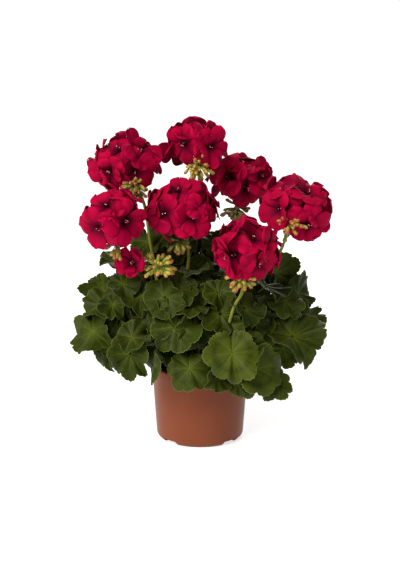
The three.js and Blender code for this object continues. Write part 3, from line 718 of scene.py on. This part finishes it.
def blade_part(leaf, chance, tone, around=181, rings=15):
    """A fine closed blade where a leaf's joint, directions, reach and cup are."""
    slit = math.radians(chance.uniform(-9, 3))
    spread = np.linspace(-1, 1, around)
    angle = (math.pi - slit) * (0.85 * spread + 0.15 * np.sin(spread * math.pi / 2))
    back = (1 - np.cos(angle)) / 2
    depth, lift = np.zeros(around), np.zeros(around)
    for lobe in LOBES:
        near = np.clip(1 - np.abs(angle - lobe) / math.radians(22.5), 0, 1)
        near = near * near * (3 - 2 * near)
        depth += chance.uniform(-0.02, 0.07) * near
        lift += chance.uniform(-0.40, 0.24) * near
    lobes = 1 - 0.19 * (1 - np.abs(np.cos(4 * angle)) ** 0.65) - depth
    scallops = 1 - 0.04 * (1 - np.abs(np.cos(20 * angle + chance.uniform(-0.4, 0.4))) ** 0.8)
    uneven = (1 + 0.03 * np.sin(2 * angle + chance.uniform(0, 6))
              + 0.02 * np.sin(3 * angle + chance.uniform(0, 6)))
    beside_slit = np.sqrt(1 - (1 - np.clip((math.pi - slit - np.abs(angle)) / ROUNDED_BY, 0, 1)) ** 2) ** 0.9
    margin = (1.07 - 0.22 * back ** 1.5) * lobes * scallops * uneven * beside_slit
    ring = np.concatenate([np.linspace(0, 0.9, rings - 3), [0.95, 0.98, 1.0]])
    share = ring[:, None] * margin[None]
    turn = np.broadcast_to(angle, share.shape)
    veins = -0.05 * np.cos(8 * turn) * share ** 1.5
    quilting = 0.009 * np.cos(40 * turn + 3 * np.sin(8 * turn)) * share * (share > 0.25)
    wave = sum(size * chance.uniform(0.5, 1.3) * np.sin(k * turn + chance.uniform(0, TAU))
               for k, size in ((2, 0.25), (3, 0.21), (5, 0.10), (8, 0.04), (13, 0.016))) * share ** 2.1
    curl = chance.uniform(-0.22, 0.05) * np.clip(share - 0.6, 0, 1) ** 2 * 4
    fold = chance.uniform(-0.08, 0.32) * np.abs(np.sin(turn)) * share
    overlap = np.sign(turn) * 0.035 * np.clip(np.abs(turn) / math.pi - 0.75, 0, 1) * 4 * share
    rise = (leaf["cup"] * share ** 2 + veins + quilting + wave + lift * share ** 2 + curl + fold + overlap)
    rise = rise * leaf["reach"]
    flat = leaf["reach"] * share
    drawn = sum(chance.uniform(-size, size) * np.sin(k * turn)
                for k, size in ((1, 0.16), (2, 0.12), (3, 0.08)))
    top = (leaf["joint"] + (flat * np.cos(turn + drawn))[..., None] * leaf["tip"]
           + (flat * np.sin(turn + drawn))[..., None] * leaf["across"] + rise[..., None] * leaf["normal"])
    uv = np.stack([0.5 + 0.5 * share * np.cos(turn), 0.5 + 0.5 * share * np.sin(turn)], -1)
    thickness = 0.55 - 0.25 * np.broadcast_to(ring[:, None], share.shape)
    edge = np.broadcast_to(ring[:, None], share.shape)
    return thin_sheet(top, thickness, uv, leaf["normal"], tone=tone, edge=edge)


def bezier(a, b, c, d, steps):
    t = np.linspace(0, 1, steps)[:, None]
    return (1 - t) ** 3 * a + 3 * t * (1 - t) ** 2 * b + 3 * t ** 2 * (1 - t) * c + t ** 3 * d


def petiole_part(leaf, tone, thick=1.35, steps=18):
    """The leaf's stalk, which leaves its branch square and bends in under the blade."""
    start, end = leaf["foot"], leaf["joint"]
    span = np.linalg.norm(end - start)
    arrive = unit(unit(end - start) + leaf["normal"])
    path = bezier(start, start + leaf["away"] * 0.28 * span, end - arrive * (0.3 * span + 0.9),
                  end - arrive * 0.9, steps)
    path = np.concatenate([[start - leaf["away"] * 1.6], path])
    radii = np.concatenate([[thick * 1.5], np.linspace(thick * 1.15, thick * 0.72, steps)])
    radii[1] = thick * 1.35
    return tube(path, radii, 9, material=1, tone=tone)


for number, leaf in enumerate(leaves):
    chance = np.random.default_rng(1000 + number)
    # Leaves low on the plant get a higher tone, a lighter green that is painted light from the glowing table
    # below.
    tone = chance.uniform(0.1, 0.8) + 0.35 * np.clip((170 - leaf["joint"][2]) / 100, 0, 1)
    parts = [blade_part(leaf, chance, tone), petiole_part(leaf, tone)]
    build("geranium_" + leaf["name"], parts, [blade_skin, petiole_skin], [leaf["name"]])
print("blades:", len(leaves), "with", len(parts[0]["faces"]), "faces each")

# %% [markdown]
# ## Inner leaves
# Behind the leaves that are seen whole there are many more, which fill the plant and make it dark
# inside. They have no plain solids of their own. They stand in a smaller dome inside the outer leaves,
# turned outwards and up, at golden-angle steps round it, so that no two line up, and any that would
# come too close to another leaf's joint is left out. Each grows from the nearest part of the stem.

# %% Inner leaves
stem_points = np.array([v.co for v in nodes["main_stem"].data.vertices]) / MM
stem_points = stem_points[stem_points[:, 2] > SOIL_TOP + 6]
low = np.min([leaf["joint"] for leaf in leaves], axis=0)
high = np.max([leaf["joint"] for leaf in leaves], axis=0)
dome_centre = (low + high) / 2
dome_size = (high - low) / 2
print("leaf joints span", np.round(low), "to", np.round(high))


def inner_leaf(place, facing, chance, reach):
    """A leaf at a place that faces a direction, with its foot on the nearest stem below it."""
    normal = unit(facing)
    outward = unit(place * [1, 1, 0] - dome_centre * [1, 1, 0])
    tip = 0.7 * outward - np.array([0, 0, 0.9]) + 0.5 * chance.normal(size=3)
    tip = unit(tip - normal * (tip @ normal))
    fits = stem_points[stem_points[:, 2] < place[2] - 10]
    fits = fits if len(fits) else stem_points
    foot = fits[np.argmin(np.linalg.norm((fits - place) * [1, 1, 1.4], axis=1))]
    away = unit((place - foot) * [1, 1, 0] + np.array([0, 0, 8.0]))
    return dict(joint=place, tip=tip, across=np.cross(normal, tip), normal=normal, reach=reach,
                cup=chance.uniform(-0.02, 0.15), foot=foot + away * 0.5, away=away)


TRIES = 260
APART = 16  # least distance between two joints
LOWEST = SOIL_TOP + 14  # least height of a joint
chance = np.random.default_rng(77)
inner, taken = [], [leaf["joint"] for leaf in leaves]
for i in range(TRIES):
    turn = i * math.pi * (3 - math.sqrt(5))
    layer = chance.uniform(0.50, 0.84)
    rise = math.radians(chance.uniform(-42, 75))
    way = np.array([math.cos(turn) * math.cos(rise), math.sin(turn) * math.cos(rise), math.sin(rise)])
    place = dome_centre + dome_size * way * layer
    upward = np.array([0, 0, chance.uniform(0.1, 0.8)])
    facing = unit(way * [1, 1, 0.5] + upward + 0.3 * chance.normal(size=3))
    if min(np.linalg.norm(place - other) for other in taken) < APART or place[2] < LOWEST:
        continue
    taken.append(place)
    inner.append(inner_leaf(place, facing, chance, chance.uniform(17, 27)))

YOUNG = [  # beside which leaf, how far from its joint, facing, reach
    ("leaf_15", (22, -4, 11), (0.1, -0.9, 0.5), 22), ("leaf_02", (14, -15, 39), (0.2, -0.3, 0.9), 17),
    ("leaf_25", (11, -24, -21), (-0.1, -0.8, 0.6), 18), ("leaf_18", (18, 20, 3), (0.0, -0.8, 0.6), 20),
    ("leaf_26", (11, -16, -1), (0.3, -0.9, 0.3), 20), ("leaf_19", (-21, 10, -19), (0.0, -0.9, 0.4), 15),
    ("leaf_18", (-15, 20, -32), (0.8, -0.5, 0.3), 20), ("leaf_15", (48, -10, 4), (0.2, -0.8, 0.5), 21),
    ("leaf_14", (-18, 16, 22), (-0.1, -0.8, 0.6), 20), ("leaf_14", (26, 30, 16), (0.2, -0.7, 0.6), 22),
    ("leaf_01", (21, 10, 5), (-0.3, -0.8, 0.4), 20), ("leaf_15", (18, -4, -9), (0.1, -0.7, 0.6), 23),
    ("leaf_10", (11, 6, -5), (-0.1, -0.8, 0.4), 17),
    ("leaf_17", (-18, 20, -6), (0.0, -0.7, 0.6), 21)]
GROUPS = 6  # the inner leaves are joined to this many pieces
by_name = {leaf["name"]: leaf["joint"] for leaf in leaves}
inner += [inner_leaf(by_name[near] + offset, facing, chance, reach) for near, offset, facing, reach in YOUNG]
groups = [[] for _ in range(GROUPS)]
for number, leaf in enumerate(inner):
    # Inner leaves draw lower tones than the outer ones: a darker green that is painted shade inside the
    # plant.
    tone = chance.uniform(0.0, 0.5)
    groups[number % GROUPS] += [blade_part(leaf, chance, tone, 121, 10), petiole_part(leaf, tone, 1.1, 12)]
for number, parts in enumerate(groups):
    build(f"inner_leaves_{number + 1}", parts, [blade_skin, petiole_skin])
print("inner leaves:", len(inner))

# %% [markdown]
# ## Reading the flower heads
# A plain head is a ball of five-sided trumpets, one for each floret, whose flat mouths face where the
# florets look. Each mouth is a flat patch that is far larger than the trumpet's sides, so its middle
# and its direction can be read from the solid. The pedicels meet just above where the stalk ends.

# %% Reading a head
KNOB_ABOVE_STALK = 2.9
MOUTH_SHARE = 0.8  # a patch with this share of the largest one's area is a mouth
FLAT = 0.99999  # cosine of the angle between two faces below which they are one flat patch


def stalk_tip(node):
    """Where a plain stalk ends and in which direction, from the ring of corners at its far end."""
    solid = opened(node)
    top = max(solid.verts, key=lambda v: v.co.z)
    ring = [v for v in solid.verts if (v.co - top.co).length < 3.7 * MM]
    cap = max((f for f in solid.faces if all(v in ring for v in f.verts)), key=lambda f: f.calc_area())
    place, way = np.mean([v.co for v in ring], 0) / MM, np.array(cap.normal)
    solid.free()
    return place, way


def read_head(letter):
    """The knob, the stalk's direction, and the middle and facing of each floret of a plain head."""
    solid = opened("head_" + letter)
    left = dict.fromkeys(solid.faces)  # in the solid's own order, which a set wouldn't keep
    patches = []
    while left:
        patch = [next(iter(left))]
        del left[patch[0]]
        for face in patch:
            for other in [f for edge in face.edges for f in edge.link_faces]:
                if other in left and other.normal.dot(patch[0].normal) > FLAT:
                    del left[other]
                    patch.append(other)
        corners = np.array([v.co for v in dict.fromkeys(v for f in patch for v in f.verts)]) / MM
        patches.append((sum(f.calc_area() for f in patch), corners.mean(0), np.array(patch[0].normal)))
    largest = max(area for area, _, _ in patches)
    mouths = [(place, facing) for area, place, facing in patches if area > MOUTH_SHARE * largest]
    solid.free()
    mouths.sort(key=lambda mouth: tuple(np.round(mouth[0], 3)))
    end, way = stalk_tip("stalk_" + letter)
    return end + way * KNOB_ABOVE_STALK, way, mouths


letters = sorted(n[-1] for n in nodes if n.startswith("head_"))
heads = {letter: read_head(letter) for letter in letters}
for letter, (knob, way, mouths) in heads.items():
    print("head", letter, "knob", np.round(knob, 1), "florets", len(mouths))

# %% [markdown]
# ## Petals
# The florets are semi-double: five broad outer petals that overlap like tiles, and a few shorter, more
# upright ones inside. Each floret lies on its neighbours, so its petals bend back over the dome of the
# head. A petal is thin and velvety, crimson that deepens to maroon in the eye and along fine veins
# that fan out from its claw, and lighter and duller on its back. At the claw its colour goes near
# black, painted shade deep in the floret's throat.

# %% Velvet petal
petal_skin, tree, shader = new_material(
    "velvet_crimson_petal", Roughness=0.6, IOR=1.4, Specular_IOR_Level=0.03, Sheen_Weight=0.03,
    Sheen_Roughness=0.5)
shader.inputs["Sheen Tint"].default_value = linear("#ff3a5f")
plan = add(tree, "UVMap", {"uv_map": "Shape"}).outputs["UV"]
axes = add(tree, "SeparateXYZ", Vector=plan)
tone = point_value(tree, "tone")
under = point_value(tree, "under")
# The first stops of both ramps, near black at the claw, are painted shade in the floret's throat; the maroon
# after them is the petal's own eye.
colour = ramp(tree, axes.outputs["X"], [(0.0, "#220110"), (0.22, "#5c0220"), (0.45, "#92022c"),
                                        (0.85, "#9e0330"), (1.0, "#a50535")])
deep = ramp(tree, axes.outputs["X"], [(0.0, "#24010e"), (0.3, "#56011e"), (0.6, "#7a0227"), (1.0, "#8a042e")])
toned = add(tree, "Mix", {"data_type": "RGBA"}, i0=tone, i6=deep, i7=colour)
fan = add(tree, "Mapping", {"Scale": (1.2, 26.0, 1.0)}, Vector=plan)
veins = add(tree, "TexNoise", {"Scale": 1.0, "Detail": 2.0}, Vector=fan)
fine = add(tree, "MapRange", {1: 0.52, 2: 0.7, 3: 0.0, 4: 0.35}, Value=veins)
veined = add(tree, "Mix", {"data_type": "RGBA", 7: linear("#5a0220")}, i0=fine,
             i6=toned.outputs[2])
sided = add(tree, "Mix", {"data_type": "RGBA", 7: linear("#860f38")}, i6=veined.outputs[2])
back = add(tree, "Math", {"operation": "MULTIPLY", 1: 0.7}, i0=under)
wire(sided, i0=back)
wire(shader, Base_Color=sided.outputs[2])
bump = add(tree, "Bump", {"Strength": 0.35, "Distance": 0.0004}, Height=veins)
wire(shader, Normal=bump)

anther_skin, tree, shader = new_material("pollen_anther", Roughness=0.8)
grain = add(tree, "TexNoise", {"Scale": 2500.0})
wire(shader, Base_Color=ramp(tree, grain, [(0.3, "#c98f86"), (0.7, "#ecc9ae")]))


def petal_part(place, axis, spoke, size, width, chance, tone, dome, lean, height, rows=12, columns=13):
    """One petal: obovate, narrow in the throat, bent back over a dome, with a waved rim."""
    u = np.linspace(0, 1, rows)[:, None] ** 0.9
    v = np.linspace(-1, 1, columns)[None]
    side = np.cross(axis, spoke)
    tip = np.sqrt(np.clip(1 - (np.clip(u - 0.60, 0, 1) / 0.40) ** 2.4, 0, 1))
    widening = 0.16 + 0.84 * np.sin(np.clip(u / 0.66, 0, 1) * math.pi / 2) ** 1.2
    spread = width / 2 * widening * np.maximum(tip, 0.02)
    notch = chance.uniform(0.0, 0.05) * (1 - np.abs(v)) * u ** 4
    out = 1.0 + size * (u - notch) * np.cos(lean * u)
    across = spread * v
    away = out ** 2 + across ** 2
    bend = away / (2 * dome) * (1 + away / (4 * dome ** 2))
    wave = (chance.uniform(0.7, 2.3) * np.sin(v * chance.uniform(2.0, 3.8) + chance.uniform(0, 6))
            + chance.uniform(0.3, 1.1) * np.sin(v * 7 + chance.uniform(0, 6))) * u ** 2
    crease = 0.9 * (1 - np.exp(-(v / 0.25) ** 2)) * u * (1 - u ** 3)
    tilt = chance.uniform(0.05, 0.16) * across
    rise = -7.5 * (1 - u) ** 2.2 + size * np.sin(lean) * 0.6 * u ** 1.4 + crease + wave + tilt - bend + height
    top = place + out[..., None] * spoke + across[..., None] * side + rise[..., None] * axis
    uv = np.stack(np.broadcast_arrays(u, 0.5 + 0.5 * v * (0.3 + 0.7 * u)), -1)
    return thin_sheet(top, 0.22, uv, axis, tone=tone)


def ellipsoid(place, axis, long, wide, material=0, tone=0.5, start=0.0, end=1.0, rows=7, sides=7):
    """A closed egg along an axis, made as a tube that narrows to both ends."""
    t = np.linspace(0.04, 0.96, rows)
    path = place + np.outer((t - 0.5) * long, axis)
    return tube(path, wide / 2 * np.sqrt(1 - (2 * t - 1) ** 2), sides, material, tone, start, end)


def floret_parts(place, axis, chance, reach, dome, openness=1.0):
    """The petals and stamens of one floret whose eye is at a place and looks along an axis."""
    first = unit(np.cross(axis, [0.31, 0.77, 0.55]))
    other = np.cross(axis, first)
    start = chance.uniform(0, TAU)
    base = chance.uniform(0.42, 1.0)
    parts = []
    for i in range(5):
        turn = start + TAU * i / 5 + chance.uniform(-0.1, 0.1)
        spoke = spoke_at(turn, first, other)
        straighter = chance.choice([1.0, 1.2, 2.5, -4.0], p=[0.38, 0.26, 0.20, 0.16])
        parts.append(petal_part(place, axis, spoke, reach * chance.uniform(0.88, 1.10),
                                reach * chance.uniform(0.86, 1.06), chance,
                                np.clip(base + chance.uniform(-0.2, 0.2), 0, 1), dome * straighter,
                                (1 - openness) * 1.1 + chance.uniform(-0.12, 0.1), -0.3 * (i % 2)))
    inner = int(chance.integers(0, 4))
    for i in range(inner):
        turn = start + 0.5 + TAU * i / inner + chance.uniform(-0.3, 0.3)
        spoke = spoke_at(turn, first, other)
        parts.append(petal_part(place, axis, spoke, reach * chance.uniform(0.6, 0.8), reach * 0.75, chance,
                                np.clip(base + chance.uniform(-0.35, 0.1), 0, 1), dome,
                                (1 - openness) * 1.0 + chance.uniform(0.05, 0.35), 0.9, rows=9, columns=9))
    for i in range(int(chance.integers(2, 5))):
        way = unit(axis * 2.2 + chance.normal(size=3) * 0.5)
        foot, head = place - axis * 6, place - axis * 6 + way * chance.uniform(4.5, 6.5)
        parts.append(tube(np.linspace(foot, head, 4), 0.22, 5, material=0, tone=1.0, start=0.9, end=1.0))
        parts.append(ellipsoid(head, unit(chance.normal(size=3)), 1.3, 0.7, material=1, rows=4, sides=5))
    return parts


# %% [markdown]
# ## Pedicels, calyces and buds
# Each floret sits on a thin pedicel with a five-pointed calyx, and unopened buds hang below them. They
# are yellow-green, flushed orange to red where the sun reaches, and show petal colour at the bud's tip.
# Each head's tone mixes in a darker, less flushed copy of the green, partly the real unflushed green and
# partly painted shade, most of all on head c.

# %% Green parts of a head
green_skin, tree, shader = new_material("flushed_calyx_and_bud", Roughness=0.5, Specular_IOR_Level=0.35,
                                        Sheen_Weight=0.1, Sheen_Roughness=0.4)
axes = add(tree, "SeparateXYZ", Vector=add(tree, "UVMap", {"uv_map": "Shape"}).outputs["UV"])
tone = point_value(tree, "tone")
uneven = add(tree, "TexNoise", {"Scale": 500.0, "Detail": 3.0})
shift = add(tree, "Math", {"operation": "MULTIPLY_ADD", 1: 0.3}, i0=uneven,
            i2=axes.outputs["X"])
shift = add(tree, "Math", {"operation": "SUBTRACT", 1: 0.15}, i0=shift)
flush = ramp(tree, shift, [(0.0, "#767d28"), (0.4, "#99a035"), (0.7, "#ad8c3a"), (0.92, "#b0542f"),
                                      (1.0, "#a5302f")])
# A darker, less flushed copy of the green: partly the real unflushed green, partly painted shade for heads in
# the shade.
plain = ramp(tree, shift, [(0.0, "#4c4f20"), (0.5, "#6b6f2c"), (0.85, "#7d4a2c"), (1.0, "#7a1828")])
toned = add(tree, "Mix", {"data_type": "RGBA"}, i0=tone, i6=plain, i7=flush)
wire(shader, Base_Color=toned.outputs[2])
streaks = add(tree, "TexNoise", {"Scale": 1500.0, "Detail": 2.0})
bump = add(tree, "Bump", {"Strength": 0.3, "Distance": 0.0002}, Height=streaks)
wire(shader, Normal=bump)


def sepal_part(foot, axis, spoke, length, opening, tone):
    """A narrow pointed sepal that stands at an opening angle off the axis."""
    u = np.linspace(0, 1, 6)[:, None]
    v = np.linspace(-1, 1, 5)[None]
    side = np.cross(axis, spoke)
    spread = 1.25 * np.sin(math.pi * (0.12 + 0.86 * u)) ** 0.8
    angle = opening * (0.4 + 0.9 * u)
    top = (foot + (length * u * np.cos(angle))[..., None] * axis + (spread * v)[..., None] * side
           + (1.2 + length * u * np.sin(angle) - 0.5 * v ** 2)[..., None] * spoke)
    return thin_sheet(top, 0.3, np.stack(np.broadcast_arrays(0.15 + 0.75 * u, v), -1), spoke, tone=tone)


def bent(start, end, sag, steps=8):
    """A pedicel from start to end that bows a little to one side."""
    t = np.linspace(0, 1, steps)[:, None]
    return start + (end - start) * t + np.asarray(sag) * (4 * t * (1 - t))


def bud_parts(knob, way, chance, tone, reach, length):
    """A drooping bud: pedicel, egg-shaped bud and the sepals round it."""
    side = unit(np.cross(way, [0.3, 0.4, 0.86]))
    foot = knob + way * reach
    droop = unit(way + np.array([0, 0, -0.35]) + 0.15 * chance.normal(size=3))
    sag = side * chance.uniform(-1.5, 1.5) + np.array([0, 0, 1.0])
    parts = [tube(bent(knob, foot, sag), 0.7, 6, tone=tone, start=0.1, end=0.3)]
    parts.append(ellipsoid(foot + droop * length * 0.5, droop, length, 3.9, tone=tone, start=0.1,
                           end=chance.uniform(0.6, 1.0), rows=9, sides=8))
    first = unit(np.cross(droop, side + 0.01))
    for i in range(5):
        turn = TAU * i / 5
        spoke = spoke_at(turn, first, np.cross(droop, first))
        parts.append(sepal_part(foot, droop, spoke, length * 0.86, 0.12, tone))
    return parts


CALYX_DEPTH = 15.5  # how far behind the eye the calyx starts


def calyx_parts(knob, place, axis, chance, tone):
    """The pedicel and the five sepals behind an open floret whose eye is at a place."""
    foot = place - axis * CALYX_DEPTH
    side = unit(np.cross(axis, [0.2, 0.5, 0.84]))
    sag = side * chance.uniform(-2, 2) + np.array([0, 0, 1.5])
    parts = [tube(bent(knob, foot, sag), 0.6, 6, tone=tone, start=0.1, end=0.4),
             ellipsoid(foot + axis * 1.5, axis, 7, 3.4, tone=tone, start=0.3, end=0.6, rows=6)]
    for i in range(5):
        turn = TAU * i / 5 + 0.3
        spoke = spoke_at(turn, side, np.cross(axis, side))
        parts.append(sepal_part(foot, axis, spoke, chance.uniform(7.5, 9), chance.uniform(0.5, 0.8),
                                np.clip(tone + chance.uniform(-0.2, 0.3), 0, 1)))
    return parts


def spread_ways(axis, count, lean_from, lean_to, chance):
    """Directions round an axis that lean from it by a range of angles in degrees."""
    first = unit(np.cross(axis, [0.6, 0.2, 0.77]))
    other = np.cross(axis, first)
    ways = []
    for i in range(count):
        lean = math.radians(chance.uniform(lean_from, lean_to))
        turn = i * math.pi * (3 - math.sqrt(5)) + chance.uniform(-0.3, 0.3)
        ways.append(unit(spoke_at(lean, axis, spoke_at(turn, first, other))))
    return ways


# %% [markdown]
# ## Flower heads
# Each head's petals are one object and its green parts another. The florets stand where the plain
# head's trumpets open, each a little higher or lower than the next, so that one lies on top of the
# other. Where the buds hang in front of the knob, the florets have not opened yet and are left out. A
# head of the same few shapes would look stamped, so each petal draws its own size, tilt, wave and tone
# from a seeded generator.

# %% Flower heads
FLORET_REACH = 25.0
DOME = 40.0  # radius that the petals bend back over
EYE_DEPTH, LAYER_STEP = 7.5, 5.5  # the lowest eye is this far below its mouth, the highest less by the step
YOUNG_SHARE, YOUNG_OPENNESS = 0.72, 0.7  # a head with few florets has small, half open ones
BUDS = {  # how many, where from the knob, round which direction, leans in degrees, reach, tone, space cleared
    "a": (34, (-2, -36, 8), (0.0, -0.6, -0.3), (0, 110), (4, 11), 0.45, 12),
    "b": (36, (-1, -24, 2), (0.0, -0.6, -0.1), (0, 110), (4, 12), 0.95, 19),
    # Head c's tone of 0 takes the darker copy everywhere, painted shade for a head at the back in the shade.
    "c": (34, (0, -8, 0), (0.0, -0.4, -0.5), (0, 110), (5, 13), 0.0, 21),
    "d": (36, (4, -31, 22), (0.0, -0.8, 0.4), (0, 110), (4, 12), 0.95, 19),
    "e": (12, (-7, -8, 2), (-0.2, -0.6, -0.7), (10, 80), (4, 9), 0.7, 0),
    "f": (12, (-6, -8, 0), (-0.3, -0.6, -0.7), (10, 80), (4, 10), 0.7, 0),
    "g": (20, (-3, -16, 9), (-0.2, -0.6, -0.5), (10, 100), (4, 11), 0.85, 0),
    "h": (38, (4, -6, 4), (0.1, -0.3, 1.0), (25, 105), (6, 14), 1.0, 0)}

for letter, (knob, way, mouths) in heads.items():
    chance = np.random.default_rng(500 + ord(letter))
    count, offset, bud_axis, leans, reaches, tone, cleared = BUDS[letter]
    middle = np.mean([place for place, _ in mouths], 0)
    bud_knob = knob + offset
    petals, greens = [], []
    young = len(mouths) < 5
    open_mouths = [(place, axis) for place, axis in mouths
                   if place[1] > middle[1] or np.hypot(*(place - bud_knob)[[0, 2]]) > cleared]
    layers = chance.permutation(len(open_mouths)) / max(len(open_mouths) - 1, 1)
    for (place, axis), layer in zip(open_mouths, layers):
        axis = unit(axis + 0.10 * chance.normal(size=3))
        reach = FLORET_REACH * chance.uniform(0.94, 1.05) * (YOUNG_SHARE if young else 1.0)
        eye = place - axis * (EYE_DEPTH - LAYER_STEP * layer)
        petals += floret_parts(eye, axis, chance, reach, DOME, YOUNG_OPENNESS if young else 1.0)
        greens += calyx_parts(knob, eye, axis, chance, tone)
    greens.append(tube(bent(knob, bud_knob, (0, 0, 1.0)), 1.3, 8, tone=tone, start=0.1, end=0.2))
    for bud_way in spread_ways(unit(bud_axis), count, *leans, chance):
        size = chance.uniform(0.75, 1.1)
        greens += bud_parts(bud_knob, bud_way, chance, np.clip(tone + chance.uniform(-0.2, 0.2), 0, 1),
                            chance.uniform(*reaches), 10.0 * size)
    greens.append(ellipsoid(knob, way, 7, 6, tone=tone, start=0.1, end=0.3))
    build("florets_" + letter, petals, [petal_skin, anther_skin], ["head_" + letter])
    build("pedicels_and_buds_" + letter, greens, [green_skin])
    print("head", letter, "florets", len(open_mouths), "of", len(mouths), "buds", count)
